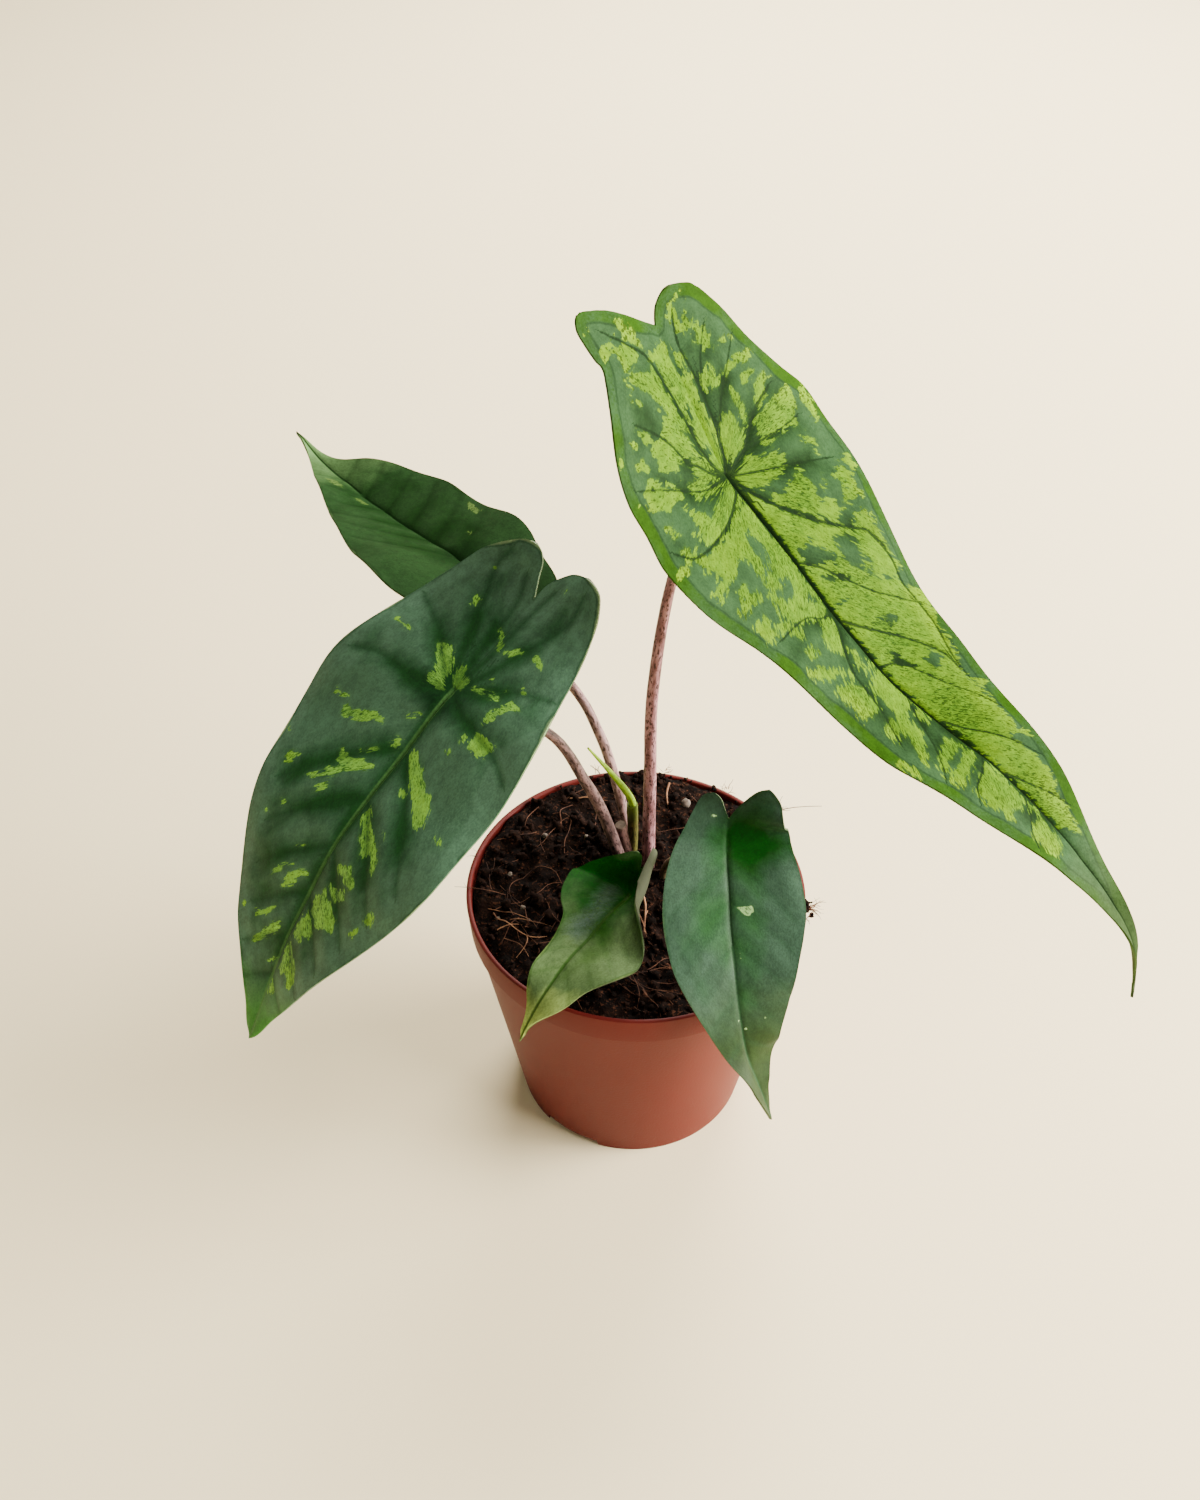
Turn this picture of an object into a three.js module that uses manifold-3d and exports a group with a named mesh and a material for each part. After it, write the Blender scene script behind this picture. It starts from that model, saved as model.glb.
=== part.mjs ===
// Young aroid with five arrow-shaped leaves in a thin plastic nursery pot.
// Millimetres, Z up; the pot's underside is centred on the origin and the
// front of the plant faces -Y.

import * as THREE from 'three';
import Module from 'manifold-3d';

const wasm = await Module();
wasm.setup();

// Driving dimensions

const POT_HEIGHT = 98.3;
const POT_LIP_RADIUS = 60;
const POT_FOOT_RADIUS = 42.2;
const POT_WALL = 1.2;
const POT_BAND_HEIGHT = 12;
const FOOT_HEIGHT = 3.2;
const FOOT_SLOT_ANGLE = 237.3;
const FOOT_SLOT_WIDTH = 22;
const DRAIN_HOLES = 8;
const DRAIN_RADIUS = 3;
const DRAIN_CIRCLE = 27;

const SOIL_FRONT = 94;
const SOIL_BACK = 99;
const GAP = 0.3;
const STEM_DEPTH = 84;

const BLADE_THICKNESS = 0.8;

// Materials

function surface(name, color, roughness) {
  const material = new THREE.MeshStandardMaterial({ color, roughness, metalness: 0 });
  material.name = name;
  return material;
}

const terracottaPlastic = surface('terracotta_plastic', '#b5654d', 0.55);
const peat = surface('peat', '#33241b', 1);
const stemSkin = surface('stem_skin', '#8c6d5f', 0.6);
const sheathSkin = surface('sheath_skin', '#6b6238', 0.7);
const budSkin = surface('bud_skin', '#8cb43c', 0.5);
const splashedBlade = surface('splashed_blade', '#7fae46', 0.45);
const darkBlade = surface('dark_blade', '#2f5438', 0.45);
const youngBlade = surface('young_blade', '#6f9455', 0.45);

// Geometry helpers

function closedMesh(points, triangles) {
  const geometry = new THREE.BufferGeometry();
  const position = new THREE.Float32BufferAttribute(points.flat(), 3);
  geometry.setAttribute('position', position);
  geometry.setIndex(triangles.flat());
  geometry.computeVertexNormals();
  return geometry;
}

function toManifold(geometry) {
  const keys = new Map();
  const points = [];
  const index = [];
  const position = geometry.attributes.position;
  const order = geometry.index ? geometry.index.array : [...Array(position.count).keys()];
  for (const corner of order) {
    const p = [position.getX(corner), position.getY(corner), position.getZ(corner)];
    const key = p.map((value) => Math.round(value * 10000)).join(' ');
    if (!keys.has(key)) {
      keys.set(key, keys.size);
      points.push(...p);
    }
    index.push(keys.get(key));
  }
  const triangles = [];
  for (let i = 0; i < index.length; i += 3) {
    const [a, b, c] = index.slice(i, i + 3);
    if (a !== b && b !== c && a !== c) {
      triangles.push(a, b, c);
    }
  }
  const mesh = new wasm.Mesh({
    numProp: 3,
    vertProperties: new Float32Array(points),
    triVerts: new Uint32Array(triangles),
  });
  return new wasm.Manifold(mesh);
}

function fromManifold(solid) {
  const mesh = solid.getMesh();
  const geometry = new THREE.BufferGeometry();
  const position = new THREE.BufferAttribute(mesh.vertProperties.slice(), 3);
  geometry.setAttribute('position', position);
  geometry.setIndex([...mesh.triVerts]);
  geometry.computeVertexNormals();
  return geometry;
}

function addPart(group, name, geometry, material) {
  const mesh = new THREE.Mesh(geometry, material);
  mesh.name = name;
  group.add(mesh);
}

// A round stem along a smooth path, with a radius for every path point
function stem(path, radii, sides) {
  const curve = new THREE.CatmullRomCurve3(path.map((p) => new THREE.Vector3(...p)));
  curve.curveType = 'catmullrom';
  const steps = (path.length - 1) * 3;
  const frames = curve.computeFrenetFrames(steps, false);
  const points = [];
  const triangles = [];
  for (let i = 0; i <= steps; i += 1) {
    const place = curve.getPointAt(i / steps);
    const along = curve.getUtoTmapping(i / steps) * (path.length - 1);
    const lower = Math.min(Math.floor(along), path.length - 2);
    const radius = radii[lower] + (radii[lower + 1] - radii[lower]) * (along - lower);
    for (let j = 0; j < sides; j += 1) {
      const angle = (j / sides) * 2 * Math.PI;
      const point = place.clone();
      point.addScaledVector(frames.normals[i], radius * Math.cos(angle));
      point.addScaledVector(frames.binormals[i], radius * Math.sin(angle));
      points.push(point.toArray());
    }
  }
  for (let i = 0; i < steps; i += 1) {
    for (let j = 0; j < sides; j += 1) {
      const a = i * sides + j;
      const b = i * sides + ((j + 1) % sides);
      triangles.push([a, b, b + sides]);
      triangles.push([a, b + sides, a + sides]);
    }
  }
  const start = points.length;
  points.push(path[0]);
  points.push(path[path.length - 1]);
  for (let j = 0; j < sides; j += 1) {
    const next = (j + 1) % sides;
    const last = steps * sides;
    triangles.push([start, next, j]);
    triangles.push([start + 1, last + j, last + next]);
  }
  return closedMesh(points, triangles);
}

// Value of a table column at s, on a smooth curve through the rows
function smooth(table, column, s) {
  const rows = table.length;
  let k = 0;
  while (k < rows - 2 && s < table[k + 1][0]) {
    k += 1;
  }
  const slope = (i) => {
    const a = table[Math.max(i - 1, 0)];
    const b = table[Math.min(i + 1, rows - 1)];
    return (b[column] - a[column]) / (b[0] - a[0]);
  };
  const [s0, s1] = [table[k][0], table[k + 1][0]];
  const h = s1 - s0;
  const x = Math.min(Math.max((s - s0) / h, 0), 1);
  const p = table[k][column] * (1 + 2 * x) * (1 - x) ** 2;
  const q = table[k + 1][column] * x * x * (3 - 2 * x);
  const m = h * slope(k) * x * (1 - x) ** 2;
  const n = h * slope(k + 1) * x * x * (x - 1);
  return p + q + m + n;
}

// Leaf blade
// The midrib runs through leaf.spine, from behind the lobes to the tip, and
// s is the distance along it from the point where the stem joins. On each
// side, t is the distance out from the midrib, measured over the blade.

class Blade {
  constructor(leaf) {
    this.leaf = leaf;
    const path = leaf.spine.map((p) => new THREE.Vector3(...p));
    this.curve = new THREE.CatmullRomCurve3(path, false, 'catmullrom', 0.5);
    this.samples = 600;
    this.lengths = [0];
    let last = this.curve.getPoint(0);
    for (let i = 1; i <= this.samples; i += 1) {
      const here = this.curve.getPoint(i / this.samples);
      this.lengths.push(this.lengths[i - 1] + here.distanceTo(last));
      last = here;
    }
    const share = leaf.joint / (leaf.spine.length - 1);
    this.zero = this.lengths[Math.round(share * this.samples)];
    this.back = -this.zero;
    this.tip = this.lengths[this.samples] - this.zero;
  }

  frame(s) {
    const inside = Math.min(Math.max(s, this.back), this.tip);
    const target = inside + this.zero;
    let i = 1;
    while (i < this.samples && this.lengths[i] < target) {
      i += 1;
    }
    const part = (target - this.lengths[i - 1]) / (this.lengths[i] - this.lengths[i - 1]);
    const u = (i - 1 + part) / this.samples;
    const along = this.curve.getTangent(u);
    const place = this.curve.getPoint(u).addScaledVector(along, s - inside);
    const level = new THREE.Vector3().crossVectors(along, new THREE.Vector3(0, 0, 1));
    level.normalize();
    const normal = new THREE.Vector3().crossVectors(level, along);
    const roll = THREE.MathUtils.degToRad(this.leaf.roll);
    const out = level.clone().multiplyScalar(Math.cos(roll));
    out.addScaledVector(normal, Math.sin(roll));
    normal.multiplyScalar(Math.cos(roll)).addScaledVector(level, -Math.sin(roll));
    return { place, along, out, normal };
  }

  // Sideways and upward travel when walking t out from the midrib
  bend(s, side, t, width) {
    const leaf = this.leaf;
    const fold = THREE.MathUtils.degToRad(leaf.fold);
    const turn = THREE.MathUtils.degToRad(leaf.curl) / 40;
    let start = t;
    if (leaf.hem && side === leaf.hem.side && s < leaf.hem.until) {
      start = Math.min(t, smooth(leaf.hem.line, 1, s));
    }
    let x = (Math.sin(fold + turn * start) - Math.sin(fold)) / turn;
    let z = (Math.cos(fold) - Math.cos(fold + turn * start)) / turn;
    if (t > start) {
      const angle = fold + turn * start;
      const total = THREE.MathUtils.degToRad(smooth(leaf.hem.line, 2, s));
      const rate = total / Math.max(width - start, 1);
      const end = angle + rate * (t - start);
      x += (Math.sin(end) - Math.sin(angle)) / rate;
      z += (Math.cos(angle) - Math.cos(end)) / rate;
    }
    const beat = Math.sin((2 * Math.PI * s) / leaf.wave + (side > 0 ? 0.6 : 2.4));
    z += leaf.ripple * beat * (t / width) ** 2;
    return [x, z];
  }

  point(s, side, t, width) {
    const { place, out, normal } = this.frame(s);
    const [x, z] = this.bend(s, side, t, Math.max(width, 1));
    place.addScaledVector(out, side * x);
    place.addScaledVector(normal, z);
    return place;
  }

  halfWidth(s, side) {
    return Math.max(smooth(this.leaf.outline, side > 0 ? 2 : 1, s), 0);
  }

  build() {
    const leaf = this.leaf;
    const half = leaf.columns;
    const middle = [];
    const ribs = [];
    const triangles = [];
    const add = (point, rib) => {
      middle.push(point);
      ribs.push(rib);
      return middle.length - 1;
    };

    // Rows of the blade, from the tip to the bottom of the notch
    const tipPoint = add(this.point(this.tip, 1, 0, 1), 0);
    const rows = [];
    for (let i = 1; i <= leaf.rows; i += 1) {
      const share = 1 - (1 - i / leaf.rows) ** 1.15;
      const s = this.tip + (leaf.notch - this.tip) * (1 - (1 - share) ** 0.9);
      const fade = s > 0 ? 1 - s / this.tip : 1 - s / leaf.notch;
      const row = [];
      for (let j = -half; j <= half; j += 1) {
        const side = j < 0 ? -1 : 1;
        const width = this.halfWidth(s, side);
        const first = Math.min(2.2, 0.35 * width);
        const step = (Math.abs(j) - 1) / (half - 1);
        const t = j === 0 ? 0 : first + (width - first) * step;
        const rib = j === 0 ? leaf.rib * (0.15 + 0.85 * fade) : 0;
        row.push(add(this.point(s, side, t, width), rib));
      }
      rows.push(row);
    }
    const quad = (a, b, c, d) => {
      triangles.push([a, b, c]);
      triangles.push([a, c, d]);
    };
    for (let j = 0; j < 2 * half; j += 1) {
      triangles.push([tipPoint, rows[0][j], rows[0][j + 1]]);
    }
    for (let i = 0; i + 1 < rows.length; i += 1) {
      for (let j = 0; j < 2 * half; j += 1) {
        if (j < half) {
          quad(rows[i][j], rows[i + 1][j], rows[i + 1][j + 1], rows[i][j + 1]);
        } else {
          quad(rows[i][j + 1], rows[i][j], rows[i + 1][j], rows[i + 1][j + 1]);
        }
      }
    }

    // Rows of the two lobes beside the notch, each closing in a round end
    for (const side of [-1, 1]) {
      const lobe = side < 0 ? leaf.leftLobe : leaf.rightLobe;
      const end = lobe[lobe.length - 1][0];
      const base = rows[rows.length - 1];
      let above = side < 0 ? base.slice(0, half + 1).reverse() : base.slice(half);
      for (let i = 1; i < leaf.lobeRows; i += 1) {
        const share = Math.sin((0.5 * Math.PI * i) / leaf.lobeRows);
        const s = leaf.notch + (end - leaf.notch) * share;
        const inner = smooth(lobe, 1, s);
        const outer = Math.max(smooth(lobe, 2, s), inner + 0.8);
        const row = [];
        for (let j = 0; j <= half; j += 1) {
          const t = inner + ((outer - inner) * j) / half;
          row.push(add(this.point(s, side, t, outer), 0));
        }
        for (let j = 0; j < half; j += 1) {
          if (side > 0) {
            quad(above[j], row[j], row[j + 1], above[j + 1]);
          } else {
            quad(above[j + 1], row[j + 1], row[j], above[j]);
          }
        }
        above = row;
      }
      const middleT = lobe[lobe.length - 1][1];
      const last = add(this.point(end, side, middleT, middleT), 0);
      for (let j = 0; j < half; j += 1) {
        const fan = side > 0 ? [above[j], last, above[j + 1]] : [above[j + 1], last, above[j]];
        triangles.push(fan);
      }
    }
    return thicken(middle, ribs, triangles);
  }
}

// Upper and lower face from one middle surface, joined around the edge
function thicken(middle, ribs, triangles) {
  const normals = middle.map(() => new THREE.Vector3());
  for (const [a, b, c] of triangles) {
    const one = middle[b].clone().sub(middle[a]);
    const two = middle[c].clone().sub(middle[a]);
    const face = one.cross(two);
    normals[a].add(face);
    normals[b].add(face);
    normals[c].add(face);
  }
  const count = middle.length;
  const points = [];
  for (let i = 0; i < count; i += 1) {
    normals[i].normalize();
    const top = middle[i].clone().addScaledVector(normals[i], BLADE_THICKNESS / 2);
    points.push(top.toArray());
  }
  for (let i = 0; i < count; i += 1) {
    const drop = -BLADE_THICKNESS / 2 - ribs[i];
    points.push(middle[i].clone().addScaledVector(normals[i], drop).toArray());
  }
  const edges = new Map();
  for (const [a, b, c] of triangles) {
    for (const [p, q] of [[a, b], [b, c], [c, a]]) {
      edges.set(`${p},${q}`, [p, q]);
    }
  }
  const faces = [];
  for (const [a, b, c] of triangles) {
    faces.push([a, b, c]);
    faces.push([a + count, c + count, b + count]);
  }
  for (const [p, q] of edges.values()) {
    if (!edges.has(`${q},${p}`)) {
      faces.push([q, p, p + count]);
      faces.push([q, p + count, q + count]);
    }
  }
  return closedMesh(points, faces);
}

// Last two path points of a stem that meets the blade squarely from below
function stemEnd(blade) {
  const { place, normal } = blade.frame(0);
  const drop = BLADE_THICKNESS / 2 + blade.leaf.rib + GAP;
  const near = place.clone().addScaledVector(normal, -drop - 0.3);
  const far = place.clone().addScaledVector(normal, -drop - 7);
  return [far.toArray(), near.toArray()];
}

// The five leaves, oldest spread widest
// outline rows: s, half width to the left, half width to the right
// lobe rows: s, inner edge, outer edge

const tallRight = {
  spine: [
    [-6.3, 16.9, 327.7], [11.5, 6.6, 293], [23, 0, 271.9], [39.3, -9.4, 254.7],
    [60.7, -21.8, 230.8], [81, -33.5, 214], [103.1, -46.3, 202.4], [122.4, -57.4, 186.8],
    [139.5, -67.3, 168.1], [147.6, -72, 154.5], [150.7, -73.8, 142.2], [152, -74.5, 131.3],
  ],
  joint: 2,
  roll: -4,
  fold: 10,
  curl: -14,
  ripple: 0.9,
  wave: 46,
  rib: 1.4,
  outline: [
    [211.7, 0, 0], [205, 1.1, 1], [196, 1.8, 1.6], [188, 2.4, 2.5], [177, 3.2, 3.9],
    [165, 5.4, 6.6], [153, 9.2, 11.3], [141, 13, 15.2], [129, 16.8, 18.4], [112, 22, 22.6],
    [93, 26.8, 26.6], [75, 31, 27.4], [57, 36, 30.6], [40, 39.5, 34.4], [21, 46.5, 41.4],
    [6, 47, 43.4], [-5, 45, 41.2], [-15, 39, 41], [-27, 32.5, 38.8], [-39, 26.5, 33.8],
    [-48, 20.6, 29],
  ],
  notch: -48,
  leftLobe: [[-48, 0, 20.6], [-50.5, 1.4, 18.6], [-53, 3.6, 15.8], [-55.1, 8.6, 8.6]],
  rightLobe: [[-48, 0, 29], [-52, 5.6, 29.5], [-57, 12, 30], [-61.5, 19, 30], [-64.4, 27, 27]],
  rows: 32,
  columns: 6,
  lobeRows: 4,
};

const frontLeft = {
  spine: [
    [-26.5, 5.5, 234.7], [-35, -1.4, 225.4], [-45, -9.5, 217], [-58, -20, 206.9],
    [-73.6, -32.7, 191.4], [-93.1, -48.4, 170.4], [-109.9, -62, 141.2], [-124.2, -73.7, 106.7],
  ],
  joint: 3,
  roll: 0,
  fold: 8,
  curl: -10,
  ripple: 1,
  wave: 52,
  rib: 1.4,
  outline: [
    [133.6, 0, 0], [130, 2.8, 3.4], [122, 6.4, 6.6], [110, 13.6, 14], [98, 20.3, 23.6],
    [80, 29.8, 33.4], [58, 40, 40.4], [46, 43, 43], [30, 43, 46.6], [14, 42.6, 47],
    [-4, 40.5, 41.4], [-20, 34.8, 36], [-38, 28.4, 27.6],
  ],
  notch: -38,
  leftLobe: [[-38, 0, 28.4], [-44, 1.5, 26.4], [-49, 5.5, 23.2], [-51.5, 9, 20], [-52.6, 14.5, 14.5]],
  rightLobe: [[-38, 0, 27.6], [-44, 3.2, 23], [-48, 5, 18.6], [-50.5, 7.5, 15], [-51.6, 11, 11]],
  rows: 24,
  columns: 5,
  lobeRows: 4,
};

const backLeft = {
  spine: [
    [-39.6, 31.8, 196.2], [-47.9, 45.2, 195.4], [-62.4, 68.4, 190.6], [-72.6, 84.7, 185.4],
    [-90, 112.5, 176.1], [-108.7, 142.5, 168.6], [-123.6, 166.3, 164], [-136.9, 187.5, 164.9],
  ],
  joint: 2,
  roll: -6,
  fold: 16,
  curl: -10,
  ripple: 1,
  wave: 48,
  rib: 1.2,
  outline: [
    [143.9, 0, 0], [135, 1.6, 1.5], [125, 3.6, 3.4], [114, 7, 7], [105, 10, 14],
    [88, 15, 22], [70, 20, 26.5], [45, 27, 27], [18, 33, 28.5], [-4, 36.5, 27],
    [-20, 36.5, 22.5], [-35, 32, 18.5],
  ],
  notch: -35,
  leftLobe: [[-35, 0, 32], [-43, 3, 28], [-49, 8, 23], [-52, 14, 14]],
  rightLobe: [[-35, 0, 18.5], [-42, 2.5, 16], [-47, 5, 13], [-50, 8.5, 8.5]],
  rows: 20,
  columns: 4,
  lobeRows: 4,
};

const smallRight = {
  spine: [
    [32.6, 0, 145.6], [30.4, -5, 138.7], [29.7, -11, 134.3], [29.5, -18, 131.3],
    [29.9, -28, 127], [30.3, -39.5, 121.5], [31.5, -50, 115], [32.8, -58.5, 106.3],
    [35.6, -66.5, 91.7], [40.4, -70.5, 79.4], [45.3, -73.5, 64.3],
  ],
  joint: 3,
  roll: 0,
  fold: 8,
  curl: -10,
  ripple: 0.7,
  wave: 40,
  rib: 1,
  outline: [
    [95.3, 0, 0], [89, 2, 2.4], [82, 3.4, 4], [78, 5.4, 4.4], [70, 10.4, 5.8],
    [59, 13.6, 10.2], [48, 17.2, 15.3], [38, 20.3, 20], [28, 23.5, 21.8], [18, 25, 22.4],
    [6, 23.8, 21], [-4, 21.8, 17.6], [-15, 20, 12.4],
  ],
  notch: -15,
  leftLobe: [[-15, 0, 20], [-20, 2.5, 19], [-24.5, 5.5, 16.3], [-27, 8, 13.6], [-28.2, 11, 11]],
  rightLobe: [[-15, 0, 12.4], [-18, 2.2, 11.4], [-20.5, 4.2, 9.8], [-21.6, 7, 7]],
  rows: 20,
  columns: 4,
  lobeRows: 4,
};

const youngest = {
  spine: [
    [1.3, 0, 107.5], [-2.7, -9, 103.8], [-10.1, -22, 108], [-16.7, -33, 108.4],
    [-23.2, -44, 110.4], [-29.6, -54.5, 108.4], [-34.4, -60, 102.3], [-38.8, -63, 92.2],
  ],
  joint: 1,
  roll: 0,
  fold: 8,
  curl: -8,
  ripple: 0.9,
  wave: 23,
  rib: 1,
  outline: [
    [75, 0, 0], [70, 1.2, 1.2], [64, 3.4, 3], [57, 8.3, 6.4], [50, 12, 8.6],
    [43, 18.3, 9], [37, 21.4, 9.5], [30, 21.4, 10.6], [24, 19.6, 12.6], [18, 17, 17.3],
    [11, 14.5, 20.5], [0, 12.5, 21.8], [-7, 11.5, 18.6], [-11, 10.5, 13],
  ],
  notch: -11,
  leftLobe: [[-11, 0, 10.5], [-14, 2, 10], [-17, 4, 8.6], [-18.5, 6.2, 6.2]],
  rightLobe: [[-11, 0, 13], [-13.5, 0.6, 9], [-15.5, 1.2, 6], [-16.5, 3, 3]],
  hem: {
    side: -1,
    until: 26,
    line: [[26, 19, 5], [22, 14, 60], [15, 8, 130], [8, 4.5, 150], [0, 2.5, 155], [-19, 1.5, 150]],
  },
  rows: 26,
  columns: 6,
  lobeRows: 4,
};

// Stems: the visible path below the blade and its radii, base first

const stems = {
  tallRight: {
    path: [[4.6, 13, STEM_DEPTH], [4.6, 13, 95], [4.2, 13, 138.8], [4.1, 11.5, 181], [8.7, 8.5, 228.3]],
    radii: [2.35, 2.35, 2.2, 2.0, 1.7, 1.5, 1.5],
  },
  frontLeft: {
    path: [[-3.4, 9.6, STEM_DEPTH], [-3.8, 9.6, 95], [-10.8, 8, 124.2], [-18, 3, 147.8], [-29.6, -7, 178.7]],
    radii: [2.2, 2.2, 2.1, 1.9, 1.6, 1.4, 1.4],
  },
  backLeft: {
    path: [[-1.6, 22.8, STEM_DEPTH], [-1.8, 22.9, 95], [-5, 25, 115], [-13, 33, 141], [-26, 46, 157]],
    radii: [1.9, 1.9, 1.85, 1.8, 1.6, 1.4, 1.4],
  },
  smallRight: {
    path: [[9.4, 8.6, STEM_DEPTH], [9.6, 8.2, 94], [12, 4.5, 107], [20, -6, 121]],
    radii: [1.6, 1.6, 1.5, 1.35, 1.2, 1.2],
  },
  youngest: {
    path: [[1, 5.6, STEM_DEPTH], [0.8, 4.8, 92]],
    radii: [1.6, 1.6, 1.3, 1.2],
  },
};

const bud = {
  path: [[-1.2, 17.6, 116], [-1.6, 17, 124], [-4.2, 15.4, 131.5], [-9, 12.4, 142.3], [-17, 8, 158.2]],
  radii: [1.15, 1.3, 1.25, 0.95, 0.4],
};

const sheath = {
  path: [[-0.9, 18, STEM_DEPTH], [-0.9, 18, 95], [-1.1, 17.8, 110], [-1.6, 17, 123]],
  radii: [1.5, 1.6, 1.9, 2.1],
};

const cutStub = {
  path: [[-1.8, 14, STEM_DEPTH], [-1.8, 14, 95], [-5.6, 12.9, 117]],
  radii: [1.4, 1.5, 1.55],
};

// Pot: thin tapered wall, slightly proud rim band, raised floor inside a foot
// ring, a flat pad at the centre of the underside

function potGeometry() {
  const band = POT_HEIGHT - POT_BAND_HEIGHT;
  const floor = FOOT_HEIGHT + POT_WALL;
  const shoulder = POT_LIP_RADIUS - 2.4;
  const profile = [
    [0, 0], [10, 0], [11.6, FOOT_HEIGHT], [POT_FOOT_RADIUS - 3, FOOT_HEIGHT],
    [POT_FOOT_RADIUS - 2, 0], [POT_FOOT_RADIUS, 0], [shoulder, band],
    [POT_LIP_RADIUS - 1, band + 0.8], [POT_LIP_RADIUS - 0.1, POT_HEIGHT - 0.5],
    [POT_LIP_RADIUS - 0.5, POT_HEIGHT], [POT_LIP_RADIUS - 1.7, POT_HEIGHT],
    [POT_LIP_RADIUS - 1.95, POT_HEIGHT - 0.4], [POT_LIP_RADIUS - 2.4, band + 1.6],
    [shoulder - POT_WALL, band - 0.2], [POT_FOOT_RADIUS - 0.4, floor],
    [11, floor], [9.4, POT_WALL], [0, POT_WALL],
  ];
  const points = profile.map(([r, z]) => new THREE.Vector2(r, z));
  const lathe = new THREE.LatheGeometry(points, 48);
  lathe.rotateX(Math.PI / 2);
  let solid = toManifold(lathe);

  // Three low slots through the foot ring
  for (let i = 0; i < 3; i += 1) {
    const slot = new THREE.BoxGeometry(14, FOOT_SLOT_WIDTH, 6);
    slot.translate(POT_FOOT_RADIUS, 0, 0);
    slot.rotateZ(THREE.MathUtils.degToRad(FOOT_SLOT_ANGLE + 120 * i));
    solid = solid.subtract(toManifold(slot));
  }
  // Ring of drain holes through the raised floor
  for (let i = 0; i < DRAIN_HOLES; i += 1) {
    const hole = new THREE.CylinderGeometry(DRAIN_RADIUS, DRAIN_RADIUS, 12, 12);
    hole.rotateX(Math.PI / 2);
    hole.translate(DRAIN_CIRCLE, 0, 4);
    hole.rotateZ(((i + 0.5) / DRAIN_HOLES) * 2 * Math.PI);
    solid = solid.subtract(toManifold(hole));
  }
  return fromManifold(solid);
}

// Soil: fills the pot, lower at the front and heaped above the rim at the back

function soilTop(x, y) {
  const share = THREE.MathUtils.smoothstep(y, -35, 50);
  const level = SOIL_FRONT + (SOIL_BACK - SOIL_FRONT) * share;
  const lumps = 0.9 * Math.sin(x * 0.31 + 1.3 * Math.sin(y * 0.17)) * Math.cos(y * 0.27 + 0.8);
  const crumbs = 0.5 * Math.sin(x * 0.73 - y * 0.41) * Math.cos(y * 0.66 + x * 0.2);
  return level + lumps + crumbs;
}

function soilGeometry(cutters) {
  const band = POT_HEIGHT - POT_BAND_HEIGHT;
  const shoulder = POT_LIP_RADIUS - 2.4 - POT_WALL - GAP;
  const rim = POT_LIP_RADIUS - 2.4 - GAP;
  const floor = FOOT_HEIGHT + POT_WALL + GAP;
  const rings = [0.1, 0.22, 0.34, 0.46, 0.58, 0.7, 0.8, 0.9, 0.97, 1];
  const sides = 40;
  const points = [];
  const triangles = [];
  const ring = (place) => {
    for (let j = 0; j < sides; j += 1) {
      const angle = (j / sides) * 2 * Math.PI;
      points.push(place(Math.cos(angle), Math.sin(angle)));
    }
  };
  points.push([0, 0, soilTop(0, 0)]);
  for (const share of rings) {
    const r = rim * share;
    const edge = share === 1 ? -0.8 : 0;
    ring((c, s) => [r * c, r * s, soilTop(r * c, r * s) + edge]);
  }
  ring((c, s) => [rim * c, rim * s, band + 2]);
  ring((c, s) => [shoulder * c, shoulder * s, band - 0.5]);
  const foot = POT_FOOT_RADIUS - 0.4 - GAP;
  ring((c, s) => [foot * c, foot * s, floor]);
  points.push([0, 0, floor]);
  const loops = rings.length + 3;
  for (let j = 0; j < sides; j += 1) {
    const next = (j + 1) % sides;
    triangles.push([0, 1 + j, 1 + next]);
    for (let i = 0; i + 1 < loops; i += 1) {
      const a = 1 + i * sides + j;
      const b = 1 + i * sides + next;
      triangles.push([a, a + sides, b + sides]);
      triangles.push([a, b + sides, b]);
    }
    const last = 1 + (loops - 1) * sides;
    triangles.push([points.length - 1, last + next, last + j]);
  }
  let solid = toManifold(closedMesh(points, triangles));
  for (const cutter of cutters) {
    solid = solid.subtract(toManifold(cutter));
  }
  return fromManifold(solid);
}

// The lower end of a stem made wider, to bore its hole in the soil
function holeFor(path, radii) {
  const [x, y, z] = path[0];
  const longer = [[x, y, z - GAP - 0.1], ...path.slice(1)];
  return stem(longer, radii.map((radius) => radius + GAP + 0.15), 8);
}

// Assembly

const plant = new THREE.Group();
plant.name = 'potted_alocasia';

const leaves = [
  ['tall_right', tallRight, stems.tallRight, splashedBlade],
  ['front_left', frontLeft, stems.frontLeft, darkBlade],
  ['back_left', backLeft, stems.backLeft, darkBlade],
  ['small_right', smallRight, stems.smallRight, darkBlade],
  ['youngest', youngest, stems.youngest, youngBlade],
];

const cutters = [];
for (const [name, leaf, petiole, material] of leaves) {
  const blade = new Blade(leaf);
  const path = [...petiole.path, ...stemEnd(blade)];
  addPart(plant, `petiole_${name}`, stem(path, petiole.radii, 8), stemSkin);
  addPart(plant, `blade_${name}`, blade.build(), material);
  cutters.push(holeFor(path, petiole.radii));
}

addPart(plant, 'rolled_leaf', stem(bud.path, bud.radii, 8), budSkin);

const bore = holeFor(bud.path, bud.radii);
const sheathSolid = toManifold(stem(sheath.path, sheath.radii, 10)).subtract(toManifold(bore));
addPart(plant, 'sheath', fromManifold(sheathSolid), sheathSkin);
cutters.push(holeFor(sheath.path, sheath.radii));

addPart(plant, 'cut_stub', stem(cutStub.path, cutStub.radii, 8), stemSkin);
cutters.push(holeFor(cutStub.path, cutStub.radii));

addPart(plant, 'pot', potGeometry(), terracottaPlastic);
addPart(plant, 'soil', soilGeometry(cutters), peat);

export default plant;
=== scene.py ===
import math
import random

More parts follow.
